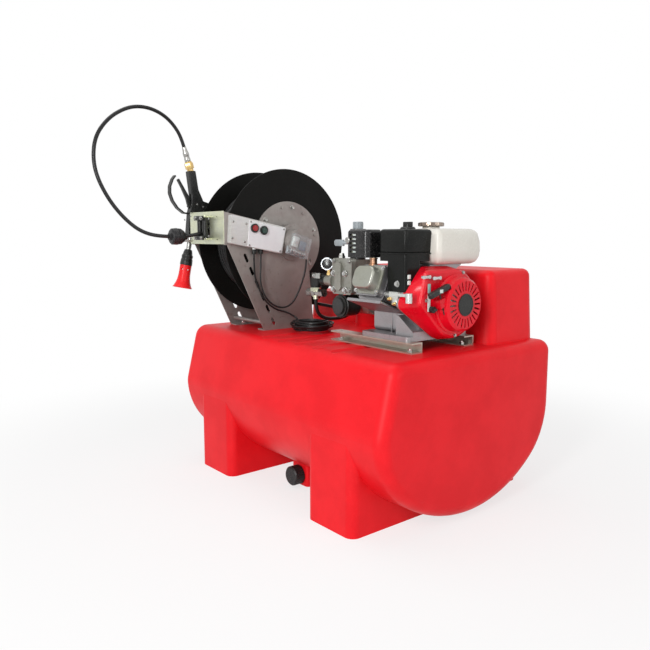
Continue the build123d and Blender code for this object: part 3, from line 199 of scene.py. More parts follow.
finishes = {
    "tankRed": (mouldedPlastic, dict(
        colour=(0.8, 0.007, 0.014), shade=(0.72, 0.005, 0.011), dust=(0.85, 0.05, 0.06), specks=0.1,
        rough=(0.42, 0.5), grain=430, depth=0.00016, waves=0.0007, clouds=6, gloss=0.22,
    )),
    "capBlack": (mouldedPlastic, dict(
        colour=(0.009, 0.009, 0.01), shade=(0.014, 0.014, 0.015), rough=(0.34, 0.46), grain=900,
        depth=0.0001, gloss=0.25,
    )),
    "mouldedBlack": (mouldedPlastic, dict(
        colour=(0.009, 0.0095, 0.009), shade=(0.015, 0.016, 0.0145), rough=(0.28, 0.4), grain=1100,
        depth=0.00008, gloss=0.28,
    )),
    "drumBlack": (mouldedPlastic, dict(
        colour=(0.005, 0.005, 0.0045), shade=(0.0075, 0.0075, 0.007), rough=(0.42, 0.55), grain=800,
        depth=0.00006, clouds=5, gloss=0.08, specks=0.03,
    )),
    "hoseRubber": (mouldedPlastic, dict(
        colour=(0.006, 0.0062, 0.0065), shade=(0.011, 0.011, 0.0115), rough=(0.26, 0.38), grain=1300,
        depth=0.00008, gloss=0.3, specks=0.05,
    )),
    "whiteSheet": (mouldedPlastic, dict(
        colour=(0.8, 0.81, 0.82), shade=(0.74, 0.75, 0.77), dust=(0.6, 0.6, 0.62), specks=0.06,
        rough=(0.3, 0.42), grain=900, depth=0.00003,
    )),
    "fuelTankCream": (mouldedPlastic, dict(
        colour=(0.74, 0.715, 0.655), shade=(0.68, 0.655, 0.595), dust=(0.5, 0.48, 0.44), specks=0.05,
        rough=(0.24, 0.34), grain=300, depth=0.00004, gloss=0.35,
    )),
    "engineRed": (mouldedPlastic, dict(
        colour=(0.74, 0.004, 0.018), shade=(0.64, 0.003, 0.013), dust=(0.8, 0.05, 0.07), specks=0.04,
        rough=(0.2, 0.3), grain=300, depth=0.00004, gloss=0.3,
    )),
    "sprayRed": (mouldedPlastic, dict(
        colour=(0.86, 0.02, 0.022), shade=(0.76, 0.013, 0.016), dust=(0.9, 0.1, 0.1), rough=(0.3, 0.42),
        grain=900, depth=0.00006, gloss=0.25, specks=0.05,
    )),
    "redButton": (mouldedPlastic, dict(
        colour=(0.42, 0.01, 0.016), shade=(0.3, 0.008, 0.012), rough=(0.22, 0.34), grain=900, depth=0.00003,
        coat=0.4,
    )),
    "greenButton": (mouldedPlastic, dict(
        colour=(0.01, 0.06, 0.042), shade=(0.008, 0.035, 0.026), rough=(0.22, 0.34), grain=900,
        depth=0.00003, coat=0.4,
    )),
    "greyPlastic": (mouldedPlastic, dict(
        colour=(0.36, 0.4, 0.42), shade=(0.28, 0.31, 0.33), rough=(0.38, 0.5), grain=900, depth=0.00006,
    )),
    "chamberGrey": (mouldedPlastic, dict(
        colour=(0.05, 0.053, 0.053), shade=(0.038, 0.041, 0.041), rough=(0.4, 0.5), grain=900,
        depth=0.00006, gloss=0.2, specks=0.04,
    )),
    "boardGrey": (mouldedPlastic, dict(
        colour=(0.2, 0.24, 0.3), shade=(0.14, 0.17, 0.22), rough=(0.4, 0.5), grain=900, depth=0.00006,
    )),
    "stripAqua": (mouldedPlastic, dict(
        colour=(0.36, 0.62, 0.55), shade=(0.3, 0.5, 0.46), rough=(0.25, 0.35), grain=900, depth=0.00002,
    )),
    "satinBlack": (mouldedPlastic, dict(
        colour=(0.006, 0.0065, 0.006), shade=(0.01, 0.0105, 0.0095), rough=(0.2, 0.3), grain=1100,
        depth=0.00004, gloss=0.14, specks=0.03,
    )),
    "glossBlack": (mouldedPlastic, dict(
        colour=(0.006, 0.006, 0.0065), shade=(0.01, 0.01, 0.0105), rough=(0.14, 0.22), grain=700,
        depth=0.00005, gloss=0.35,
    )),
    "stripPale": (mouldedPlastic, dict(
        colour=(0.74, 0.78, 0.75), shade=(0.6, 0.7, 0.66), rough=(0.25, 0.35), grain=900, depth=0.00002,
    )),
    "zincPlate": (platedSteel, dict(
        colour=(0.66, 0.68, 0.5), shade=(0.5, 0.52, 0.37), tone=(0.58, 0.61, 0.52), rough=(0.3, 0.42),
        grain=60, depth=0.00004, metal=0.75,
    )),
    "channelZinc": (platedSteel, dict(
        colour=(0.5, 0.45, 0.38), shade=(0.36, 0.3, 0.25), tone=(0.46, 0.5, 0.42), rough=(0.28, 0.4),
        grain=60, depth=0.00004, metal=0.8, rolled=(1, 12, 12), marks=12,
    )),
    "plateGrey": (platedSteel, dict(
        colour=(0.33, 0.31, 0.29), shade=(0.2, 0.17, 0.16), tone=(0.27, 0.235, 0.225), rough=(0.36, 0.52),
        grain=9, depth=0.00004, metal=0.4, rolled=(1, 1, 1), marks=16, tarnish=0.55, spots=60, gloss=0.3,
    )),
    "armPale": (platedSteel, dict(
        colour=(0.66, 0.66, 0.64), shade=(0.54, 0.54, 0.52), tone=(0.6, 0.61, 0.62), rough=(0.3, 0.42),
        grain=30, depth=0.00003, metal=0.35, rolled=(1, 1, 10),
    )),
    "brightSteel": (platedSteel, dict(
        colour=(0.62, 0.62, 0.61), shade=(0.34, 0.34, 0.34), tone=(0.5, 0.5, 0.48), rough=(0.16, 0.3),
        grain=160, depth=0.00002, rolled=(1, 1, 1),
    )),
    "satinSteel": (platedSteel, dict(
        colour=(0.46, 0.46, 0.44), shade=(0.22, 0.22, 0.21), tone=(0.34, 0.33, 0.31), rough=(0.24, 0.38),
        grain=160, depth=0.00002, rolled=(1, 1, 1),
    )),
    "brass": (platedSteel, dict(
        colour=(0.78, 0.55, 0.22), shade=(0.5, 0.33, 0.13), tone=(0.6, 0.42, 0.2), rough=(0.2, 0.34),
        grain=120, depth=0.00003, rolled=(1, 1, 1),
    )),
    "heatedCopper": (platedSteel, dict(
        colour=(0.56, 0.3, 0.17), shade=(0.34, 0.16, 0.09), tone=(0.4, 0.27, 0.2), rough=(0.26, 0.4),
        grain=80, depth=0.00004, rolled=(1, 1, 1),
    )),
    "chromeSteel": (platedSteel, dict(
        colour=(0.2, 0.21, 0.22), shade=(0.06, 0.065, 0.07), tone=(0.12, 0.13, 0.14), rough=(0.16, 0.3),
        grain=160, depth=0.00003, rolled=(1, 1, 1),
    )),
    # the fuel cap's brown tint is a painted reflection: its colour stands in for the brown things that the
    # chrome cap reflects
    "capBronze": (platedSteel, dict(
        colour=(0.3, 0.24, 0.2), shade=(0.12, 0.09, 0.07), tone=(0.42, 0.36, 0.3), rough=(0.18, 0.3),
        grain=160, depth=0.00003, rolled=(1, 1, 1),
    )),
    "olivePaint": (castMetal, dict(
        colour=(0.27, 0.27, 0.235), shade=(0.13, 0.13, 0.105), tone=(0.36, 0.36, 0.33), rough=(0.3, 0.5),
        grain=330, depth=0.0006, metal=0.45,
    )),
    "rockerOlive": (castMetal, dict(
        colour=(0.33, 0.335, 0.285), shade=(0.24, 0.24, 0.2), tone=(0.38, 0.38, 0.36), rough=(0.3, 0.42),
        grain=420, depth=0.0002, metal=0.6,
    )),
    "castAluminium": (castMetal, dict(
        colour=(0.38, 0.37, 0.38), shade=(0.2, 0.19, 0.2), tone=(0.29, 0.28, 0.28), rough=(0.34, 0.5),
        grain=420, depth=0.0004, metal=0.8,
    )),
    "carburettorSilver": (castMetal, dict(
        colour=(0.66, 0.67, 0.64), shade=(0.4, 0.41, 0.38), tone=(0.5, 0.5, 0.46), rough=(0.26, 0.4),
        grain=500, depth=0.0003, metal=0.85,
    )),
}
finish = {name: recipe(name, look) for name, (recipe, look) in finishes.items()}


def clearCover(name, look):
    # see-through box lid with moulded grain and dull edges
    material, shader, bench = startFinish(name, coat=0.6)
    haze = bench.step(bench.noise(30, 3), 0.4, 0.7)
    wireUp(
        shader,
        {
            "Base Color": bench.blend(haze, look["colour"], look["shade"]),
            "Roughness": haze * 0.1 + 0.12,
            "Alpha": haze * 0.08 + look["alpha"],
            "Normal": bench.bump(bench.noise(260, 2), 0.00004),
        },
    )
    return material


clearLook = {"colour": (0.62, 0.66, 0.68), "shade": (0.5, 0.53, 0.55), "alpha": 0.14}
finish["clearLid"] = clearCover("clearLid", clearLook)
print("finishes made:", len(finish))

nodeFinish = {
    "tankRed": ["tank"],
    "capBlack": ["drain_cap", "filler_lid", "filler_basket", "ball_stop"],
    "mouldedBlack": [
        "engine_switch", "starter_grip", "air_chamber", "pressure_control",
        "outlet_valve", "roller_left", "roller_right", "roller_top", "roller_bottom", "gun_body", "gun_guard",
        "gun_trigger",
    ],
    "glossBlack": ["muffler_shield"],
    "satinBlack": ["air_cleaner_base", "air_cleaner_cover"],
    "drumBlack": ["reel_drum"],
    "armPale": ["control_box"],
    "redButton": ["button_wind_in"],
    "greenButton": ["button_stop"],
    "greyPlastic": ["pressure_knob", "bypass_tap"],
    "olivePaint": ["pump_body", "pump_head"],
    "zincPlate": ["muffler", "outlet_fitting", "roller_bracket"],
    "channelZinc": ["mounting_channels"],
    "plateGrey": ["reel_plate_near", "reel_plate_far", "reel_hubs", "reel_motor"],
    "engineRed": ["fan_shroud", "recoil_cover"],
    "fuelTankCream": ["fuel_tank"],
    "rockerOlive": ["rocker_cover"],
    "castAluminium": ["crankcase", "cylinder_head"],
    "carburettorSilver": ["carburettor"],
    "brightSteel": [
        "deck_bolts", "fuel_cap", "throttle_lever", "choke_lever", "pressure_gauge", "inlet_swivel",
        "hose_ferrule",
    ],
    "satinSteel": ["crankshaft", "lance"],
    "hoseRubber": ["hose_winding"],
    "clearLid": ["relay_box"],
    "sprayRed": ["nozzle"],
}
for finishName, members in nodeFinish.items():
    for member in members:
        mesh = nodes[member].data
        mesh.materials.clear()
        mesh.materials.append(finish[finishName])
print("CAD nodes finished")


# cords
def cordPiece(name, points, look):
    curve = bpy.data.curves.new(name, "CURVE")
    curve.dimensions = "3D"
    spline = curve.splines.new("NURBS")
    spline.points.add(len(points) - 1)
    for knot, place in zip(spline.points, points):
        knot.co = (*place, 1)
    spline.order_u = 3
    spline.use_endpoint_u = True
    spline.resolution_u = 10
    curve.bevel_depth = look["diameter"] / 2
    curve.bevel_resolution = 5
    curve.use_fill_caps = True
    curve.materials.append(finish[look["finish"]])
    piece = bpy.data.objects.new(name, curve)
    bpy.context.scene.collection.objects.link(piece)
    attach(piece, "frame")
    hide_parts(*look["replaces"])
    return piece


def fromMillimetres(points):
    # routes are kept in millimetres from the tank's middle
    return [(x / 1000, tankY + y / 1000, z / 1000) for x, y, z in points]


# the gun and the reel, in millimetres from the tank's middle; hoses and fittings meet them
gun = {
    "x": -456, "halfWidth": 13,
    "ferrule": (-357.5, 1029.5), "ferruleTilt": math.radians(16),
    "lance": (-364, 803), "lanceTilt": math.radians(12),
}
reel = {"y": -104, "z": 785, "windowX": -322}

sprayHose = {
    "diameter": 0.012, "length": 1.48, "stiffness": "medium", "lay": "hanging", "finish": "hoseRubber",
    "replaces": ["spray_hose"], "partners": ["ball_stop"],
    "ferruleRuns": (70, 112), "reelRadius": 195.47, "turns": (118.6, 98.6, 78.6, 58.6, 38.6),
}
ferruleY, ferruleZ = gun["ferrule"]
sprayRoute = []
for run in sprayHose["ferruleRuns"]:  # straight out of the ferrule
    back, rise = run * math.sin(gun["ferruleTilt"]), run * math.cos(gun["ferruleTilt"])
    sprayRoute.append((gun["x"], ferruleY - back, ferruleZ + rise))
sprayRoute += [
    (-449, -418, 1175),
    (-440, -458, 1203),
    (-430, -508, 1218),
    (-420, -561, 1218),
    (-410, -611, 1202),
    (-400, -665, 1167),
    (-390, -710, 1112),
    (-382, -725, 1049),
    (-374, -720, 988),
    (-362, -690, 918),
    (-350, -648, 861),
    (-342, -598, 820),
    (-333, -538, 804),
    (-324, -420, 806),
    (reel["windowX"], -352, 833),
    (reel["windowX"], -276, 896),
]
for step, turn in enumerate(sprayHose["turns"]):
    angle = math.radians(turn)
    along, up = sprayHose["reelRadius"] * math.cos(angle), sprayHose["reelRadius"] * math.sin(angle)
    sprayRoute.append((reel["windowX"] + step, reel["y"] + along, reel["z"] + up))
cordPiece("spray_hose_line", fromMillimetres(sprayRoute), sprayHose)

supplyHose = {
    "diameter": 0.012, "length": 0.85, "stiffness": "medium", "lay": "loose", "finish": "hoseRubber",
    "replaces": ["supply_hose"],
}
supplyRoute = [
    (-34, -140, 603),
    (-34, -140, 560),
    (-34, -100, 534),
    (-36, -40, 532),
    (-50, 15, 536),
    (-94, 56, 542),
    (-164, 72, 548),
    (-220, 68, 552),
    (-300, 64, 556),
    (-400, 58, 556),
    (-456, 16, 592),
    (-458, -50, 636),
    (-456, -104, 694),
    (-456, -104, 757),
]
cordPiece("supply_hose_line", fromMillimetres(supplyRoute), supplyHose)

controlCable = {
    "diameter": 0.006, "length": 4.7, "stiffness": "limp", "lay": "coiled", "finish": "hoseRubber",
    "replaces": ["control_cable", "cable_coil"],
}
coil = {
    "middle": (-104, -104), "turns": 11, "pointsPerTurn": 14, "start": math.radians(190),
    "inner": 50, "layers": 4, "layerStep": 6.1, "wander": 3.2, "flutter": 2.0, "oval": (1.12, 0.96),
    "top": 519, "drop": 23, "sway": 4.4,
}
controlRoute = [
    (-203, -267, 746.7),
    (-203, -267, 712),
    (-207, -262, 670),
    (-208, -245, 628),
    (-207, -222, 588),
    (-203, -185, 558),
    (-190, -140, 545),
    (-180, -118, 530),
]
coilX, coilY = coil["middle"]
wide, deep = coil["oval"]
for step in range(coil["turns"] * coil["pointsPerTurn"]):
    turns = step / coil["pointsPerTurn"]
    angle = coil["start"] + 2 * math.pi * turns
    layer = turns % coil["layers"]  # the turns wander outwards and back in, so no two lie alike
    wander = coil["wander"] * math.sin(2.3 * turns + 0.7)
    flutter = coil["flutter"] * math.sin(angle * 0.37 + turns)
    spread = coil["inner"] + coil["layerStep"] * layer + wander + flutter
    lift = coil["top"] - coil["drop"] * turns / coil["turns"] + coil["sway"] * math.sin(angle + 1.9 * turns)
    aside, ahead = wide * spread * math.cos(angle), deep * spread * math.sin(angle)
    controlRoute.append((coilX + aside, coilY + ahead, lift))
cordPiece("control_cable_line", fromMillimetres(controlRoute), controlCable)

relayCable = {
    "diameter": 0.006, "length": 0.41, "stiffness": "limp", "lay": "hanging", "finish": "hoseRubber",
    "replaces": ["relay_cable"],
}
relayRoute = [
    (-203, -240, 746.7),
    (-203, -240, 707),
    (-200, -246, 662),
    (-199, -236, 618),
    (-196, -213, 585),
    (-190, -186, 567),
    (-183, -158, 563),
    (-176, -134, 574),
    (-170, -116, 602),
    (-162, -100, 645),
    (-155, -88, 692),
    (-154, -86, 726.5),
]
cordPiece("relay_cable_line", fromMillimetres(relayRoute), relayCable)
print("cords laid")


# modelling helpers
def startFresh():
    bpy.ops.object.select_all(action="DESELECT")


def settle():
    # the piece's place goes into its mesh, and its object stays at the origin
    bpy.ops.object.transform_apply(location=True, rotation=True, scale=True)
    return bpy.context.object


def addRod(start, end, radius, sides=24):
    startFresh()
    axis = Vector(end) - Vector(start)
    bpy.ops.mesh.primitive_cylinder_add(
        vertices=sides, radius=radius, depth=axis.length, location=(Vector(start) + Vector(end)) / 2,
        rotation=axis.to_track_quat("Z", "Y").to_euler(),
    )
    return settle()


def addBox(low, high):
    startFresh()
    low, high = Vector(low), Vector(high)
    bpy.ops.mesh.primitive_cube_add(size=1, location=(low + high) / 2, scale=high - low)
    return settle()


def pickFaces(wanted):
    # in edit mode, selects the faces whose middle and normal pass the test
    bpy.ops.mesh.select_mode(type="FACE")
    mesh = bmesh.from_edit_mesh(bpy.context.object.data)
    for face in mesh.faces:
        face.select_set(wanted(face.calc_center_median(), face.normal))
    mesh.select_flush_mode()
    bmesh.update_edit_mesh(bpy.context.object.data)


def sinkTop(facing, rim, depth):
    # the flat end that faces this way gets a rim and a sunk floor, or with a negative depth a raised middle
    bpy.ops.object.mode_set(mode="EDIT")
    pickFaces(lambda middle, normal: normal.dot(facing) > 0.98)
    bpy.ops.mesh.inset(thickness=rim)
    bpy.ops.mesh.extrude_region_move(TRANSFORM_OT_translate={"value": Vector(facing) * -depth})
    bpy.ops.object.mode_set(mode="OBJECT")


def softenEdges(piece, width, segments=2, angle=35):
    bpy.context.view_layer.objects.active = piece
    bevel = piece.modifiers.new("soft", "BEVEL")
    bevel.width = width
    bevel.segments = segments
    bevel.limit_method = "ANGLE"
    bevel.angle_limit = math.radians(angle)
    bpy.ops.object.modifier_apply(modifier="soft")


def stackUp(stations):
    # in edit mode, draws the starting face up through its stations; each is a width and a height
    bpy.ops.object.mode_set(mode="EDIT")
    bpy.ops.mesh.select_all(action="SELECT")
    for (wide, high), (wider, higher) in zip(stations, stations[1:]):
        bpy.ops.mesh.extrude_region_move(TRANSFORM_OT_translate={"value": (0, 0, higher - high)})
        grow = wider / wide
        bpy.ops.transform.resize(value=(grow, grow, 1), center_override=(0, 0, higher))
    bpy.ops.mesh.select_all(action="SELECT")
    bpy.ops.mesh.normals_make_consistent(inside=False)
    bpy.ops.object.mode_set(mode="OBJECT")
    return bpy.context.object


def turnShape(stations, sides=32):
    # a turned shape standing on the origin; each station is a radius and a height, in millimetres
    stations = [(radius / 1000, height / 1000) for radius, height in stations]
    startFresh()
    bpy.ops.mesh.primitive_circle_add(
        vertices=sides, radius=stations[0][0], fill_type="NGON", location=(0, 0, stations[0][1])
    )
    settle()
    return stackUp(stations)


def standAt(piece, place, axis, spin=0.0):
    # turns a piece that stands on the origin to lie along the axis, and moves it to its place
    aim = Vector(axis).to_track_quat("Z", "Y").to_matrix().to_4x4()
    piece.data.transform(Matrix.Translation(Vector(place)) @ aim @ Matrix.Rotation(spin, 4, "Z"))
    return piece


def at(x, y, z):
    # millimetres from the tank's middle to the scene's metres
    return Vector((x / 1000, tankY + y / 1000, z / 1000))


def joinInto(main, *others):
    startFresh()
    for piece in (main, *others):
        piece.select_set(True)
    bpy.context.view_layer.objects.active = main
    bpy.ops.object.join()
    return main


def finishPiece(piece, name, body, finishName, replaced=()):
    piece.name = name
    piece.data.name = name
    piece.data.materials.clear()
    piece.data.materials.append(finish[finishName])
    startFresh()
    piece.select_set(True)
    bpy.context.view_layer.objects.active = piece
    bpy.ops.object.shade_smooth_by_angle(angle=math.radians(32))
    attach(piece, body)
    if replaced:
        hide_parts(*replaced)
    return piece


def copyOnto(master, name, place, facing, size, body, finishName, turn=0.0):
    # a copy of a master that stands on the origin, facing up, at a radius of one
    piece = bpy.data.objects.new(name, master.data.copy())
    bpy.context.scene.collection.objects.link(piece)
    aim = Vector(facing).to_track_quat("Z", "Y").to_matrix().to_4x4()
    spin = Matrix.Rotation(turn, 4, "Z")
    piece.data.transform(Matrix.Translation(Vector(place)) @ aim @ spin @ Matrix.Scale(size, 4))
    return finishPiece(piece, name, body, finishName)


# fasteners, modelled once at a radius of one and copied to their places
def modelHexBolt():
    head = addRod((0, 0, 0.12), (0, 0, 0.82), 1.0, 6)
    bpy.ops.object.mode_set(mode="EDIT")
    pickFaces(lambda middle, normal: normal.z > 0.98)
    bpy.ops.mesh.inset(thickness=0.16)
    bpy.ops.transform.translate(value=(0, 0, 0.1))
    bpy.ops.mesh.inset(thickness=0.12)
    bpy.ops.transform.translate(value=(0, 0, -0.06))
    bpy.ops.object.mode_set(mode="OBJECT")
    washer = addRod((0, 0, 0), (0, 0, 0.16), 1.28, 20)
    softenEdges(washer, 0.05, 1)
    return joinInto(head, washer)


def modelPanScrew():
    screw = addRod((0, 0, 0), (0, 0, 0.55), 1.0, 20)
    softenEdges(screw, 0.32, 3, 60)
    bpy.ops.object.mode_set(mode="EDIT")
    pickFaces(lambda middle, normal: normal.z > 0.98)
    bpy.ops.mesh.inset(thickness=0.3)
    bpy.ops.mesh.extrude_region_move(TRANSFORM_OT_translate={"value": (0, 0, -0.28)})
    bpy.ops.object.mode_set(mode="OBJECT")
    return screw


hexBolt = modelHexBolt()
panScrew = modelPanScrew()


def boltRow(name, places, facing, size, body, finishName="brightSteel", master=None):
    for index, place in enumerate(places):
        turn = 0.4 * index  # no two stand alike
        copyOnto(
            master or hexBolt, f"{name}_{index + 1}", place, facing, size, body, finishName, turn
        )


def softBox(name, low, high, soft, finishName, segments=2, body="frame"):
    # a box between two corners, with its edges rounded
    box = addBox(low, high)
    softenEdges(box, soft, segments)
    return finishPiece(box, name, body, finishName)


def turnedPiece(name, stations, sides, place, axis, finishName, spin=0.0):
    # a turned shape, laid along its axis
    turned = standAt(turnShape(stations, sides), place, axis, spin)
    return finishPiece(turned, name, "frame", finishName)


def screwRow(name, places, facing, size):
    boltRow(name, places, facing, size, "frame", "satinSteel", panScrew)


print("fasteners modelled")
toRight, toFront, upward = (1, 0, 0), (0, -1, 0), (0, 0, 1)

# the reel's hub bolts, on both faces
hubBolts = {"count": 6, "circle": 0.121, "first": 21, "size": 0.0062, "standOff": 0.003}
drumLow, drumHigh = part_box("reel_drum")
hubSides = {
    "near": (drumHigh.x + hubBolts["standOff"], (1, 0, 0)),
    "far": (drumLow.x - hubBolts["standOff"], (-1, 0, 0)),
}
for sideName, (faceX, facing) in hubSides.items():
    places = []
    for index in range(hubBolts["count"]):
        angle = math.radians(hubBolts["first"] + 360 / hubBolts["count"] * index)
        along, up = hubBolts["circle"] * math.cos(angle), hubBolts["circle"] * math.sin(angle)
        places.append((faceX, tankY + reel["y"] / 1000 + along, reel["z"] / 1000 + up))
    boltRow(f"hub_bolt_{sideName}", places, facing, hubBolts["size"], "reel", "satinSteel")
print("reel bolts on")

# the control box: white front sheet, screws, button bezels and cable glands
controlBox = {
    "sheet": [(-0.291, 0.8575), (-0.1465, 0.8315), (-0.1645, 0.7505), (-0.299, 0.774)],
    "sheetLift": 0.0003,
    "sheetThickness": 0.001,
    "screwInset": 0.09,  # share of the way from a corner to the sheet's middle
    "sideScrews": [(-0.352, 0.853), (-0.357, 0.80), (-0.303, 0.846), (-0.31, 0.788)],
    "bezelLift": 0.0012,
    "bezelRadius": 0.0148,
    "bezelBore": 0.0106,
    "bezelHeight": 0.006,
    "bezelFloor": 0.001,
    "buttons": {"wind_in": (-0.272, 0.832), "stop": (-0.236, 0.825)},
    "glands": (-0.267, -0.240),
    "glandDepth": 0.011,
    "glandNut": (0.757, 0.7625, 0.0095),  # bottom, top and radius
    "glandDome": (0.7465, 0.757, 0.0078),
}
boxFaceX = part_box("control_box")[1].x
startFresh()
bpy.ops.mesh.primitive_plane_add(size=1)
sheet = settle()
corners = [Vector((boxFaceX + controlBox["sheetLift"], tankY + y, z)) for y, z in controlBox["sheet"]]
order = (3, 2, 0, 1)  # a new plane's corners run left to right, front row first
for vertex, corner in zip(sheet.data.vertices, (corners[index] for index in order)):
    vertex.co = corner
bpy.context.view_layer.objects.active = sheet
bpy.ops.object.mode_set(mode="EDIT")
bpy.ops.mesh.select_all(action="SELECT")
bpy.ops.mesh.extrude_region_move(TRANSFORM_OT_translate={"value": (controlBox["sheetThickness"], 0, 0)})
bpy.ops.mesh.select_all(action="SELECT")
bpy.ops.mesh.normals_make_consistent(inside=False)
bpy.ops.object.mode_set(mode="OBJECT")
softenEdges(sheet, 0.0004, 1)
finishPiece(sheet, "control_front_sheet", "frame", "whiteSheet")
middle = sum(corners, Vector()) / 4
onSheet = Vector((controlBox["sheetThickness"], 0, 0))
screwPlaces = [corner.lerp(middle, controlBox["screwInset"]) + onSheet for corner in corners]
screwRow("control_screw", screwPlaces, toRight, 0.0032)
sidePlaces = [(boxFaceX, tankY + y, z) for y, z in controlBox["sideScrews"]]
screwRow("control_side_screw", sidePlaces, toRight, 0.0042)
for buttonName, (y, z) in controlBox["buttons"].items():
    face = boxFaceX + controlBox["bezelLift"]
    front = face + controlBox["bezelHeight"]
    bezel = addRod((face, tankY + y, z), (front, tankY + y, z), controlBox["bezelRadius"], 32)
    wall = controlBox["bezelRadius"] - controlBox["bezelBore"]
    sinkTop(toRight, wall, controlBox["bezelHeight"] - controlBox["bezelFloor"])
    softenEdges(bezel, 0.0009, 2)
    finishPiece(bezel, f"{buttonName}_bezel", "frame", "mouldedBlack")
for index, y in enumerate(controlBox["glands"]):
    x = boxFaceX - controlBox["glandDepth"]
    low, high, radius = controlBox["glandNut"]
    nut = addRod((x, tankY + y, low), (x, tankY + y, high), radius, 6)
    low, high, radius = controlBox["glandDome"]
    dome = addRod((x, tankY + y, low), (x, tankY + y, high), radius, 20)
    gland = joinInto(nut, dome)
    softenEdges(gland, 0.0012, 2)
    finishPiece(gland, f"cable_gland_{index + 1}", "frame", "mouldedBlack")
print("control box dressed")

# pump: bolts, gauge face, end disc of the air chamber, tap handle
pump = {
    "faceDepth": 0.008,
    "boltSink": 0.0005,
    "bolts": [(0.07, 0.642), (0.07, 0.692), (0.124, 0.642), (0.124, 0.692)],
    "cornerBolts": [(0.07, 0.73), (0.142, 0.73), (0.142, 0.642)],
}
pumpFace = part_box("pump_head")[0].y + pump["faceDepth"]
boltPlaces = [(x, pumpFace - pump["boltSink"], z) for x, z in pump["bolts"]]
boltRow("pump_bolt", boltPlaces, toFront, 0.0078, "frame")
cornerPlaces = [(x, pumpFace, z) for x, z in pump["cornerBolts"]]
boltRow("pump_corner_bolt", cornerPlaces, toFront, 0.005, "frame", "satinSteel")

gauge = {
    "place": at(31, -146, 719),
    "axis": (0.62, -0.78, 0.06),
    "ring": [
        (10, -14), (17, -12), (19.5, -10), (20.5, -2), (20.5, 2), (19, 3.4), (17, 3.4), (16.4, 1.6), (3, 1.4),
    ],
    "elbow": [(6, -30), (6, -14), (9, -13), (9, -10)],
    "dial": [(16.2, 1.5), (16.2, 2.4), (15.6, 2.6)],
    "pointer": ((-0.0006, -0.004, 0.0026), (0.0006, 0.012, 0.0034)),
    "pointerHub": [(2.4, 2.5), (2.4, 3.8), (1.8, 4)],
    "pointerTurn": 0.6,
}
ring = turnShape(gauge["ring"], 48)
elbow = turnShape(gauge["elbow"], 24)
standAt(joinInto(ring, elbow), gauge["place"], gauge["axis"])
finishPiece(ring, "gauge_case", "frame", "chromeSteel", ["pressure_gauge"])
turnedPiece("gauge_dial", gauge["dial"], 40, gauge["place"], gauge["axis"], "glossBlack")
pointer = addBox(*gauge["pointer"])
softenEdges(pointer, 0.0003, 1)
joinInto(pointer, turnShape(gauge["pointerHub"], 16))
standAt(pointer, gauge["place"], gauge["axis"], gauge["pointerTurn"])
finishPiece(pointer, "gauge_pointer", "frame", "stripPale")

outletTee = {
    "stations": [
        (10, 0), (13, 2), (13, 22), (11, 23), (11, 30), (15, 31), (15, 46), (12.5, 47), (12.5, 78), (14, 79),
        (14, 85),
    ],
    "place": at(-74, -141, 625),
    "spin": 0.26,
}
teePlace, teeSpin = outletTee["place"], outletTee["spin"]
turnedPiece("outlet_tee", outletTee["stations"], 6, teePlace, toRight, "satinSteel", spin=teeSpin)

chamber = {"disc": 0.0245, "discLift": 0.0003, "discDepth": 0.0022, "ring": 0.0345, "ringBack": 0.012}
chamberLow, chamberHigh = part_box("air_chamber")
chamberX, chamberZ = (chamberLow.x + chamberHigh.x) / 2, (chamberLow.z + chamberHigh.z) / 2
discBack = (chamberX, chamberLow.y - chamber["discLift"], chamberZ)
discFront = (chamberX, chamberLow.y - chamber["discDepth"], chamberZ)
disc = addRod(discBack, discFront, chamber["disc"], 48)
softenEdges(disc, 0.0008, 2)
finishPiece(disc, "air_chamber_disc", "frame", "chamberGrey")
startFresh()
bpy.ops.mesh.primitive_torus_add(
    location=(chamberX, chamberLow.y + chamber["ringBack"], chamberZ), rotation=(math.pi / 2, 0, 0),
    major_radius=chamber["ring"], minor_radius=0.0028, major_segments=48, minor_segments=10,
)
finishPiece(settle(), "air_chamber_ring", "frame", "mouldedBlack")

outletTap = {
    "left": 0.012, "right": 0.03, "front": 0.006, "back": 0.0012,
    "low": 0.672, "high": 0.69, "screw": 0.681,
}
valveLow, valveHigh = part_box("outlet_valve")
tapX = (valveLow.x + valveHigh.x) / 2
handleLow = (tapX - outletTap["left"], valveLow.y - outletTap["front"], outletTap["low"])
handleHigh = (tapX + outletTap["right"], valveLow.y - outletTap["back"], outletTap["high"])
softBox("outlet_tap_handle", handleLow, handleHigh, 0.0022, "satinSteel")
boltRow("outlet_tap_screw", [(tapX, handleLow[1], outletTap["screw"])], toFront, 0.004, "frame")

portStations = [(11, 0), (11, 9), (9, 10), (8, 16), (6.5, 17)]
turnedPiece("pump_port_nut", portStations, 6, at(88, -134, 737), upward, "satinSteel")
stemStations = [(10, 0), (10, 7), (7.5, 8), (7.5, 16)]
turnedPiece("gauge_stem_nut", stemStations, 6, at(34, -140, 684), upward, "brass")

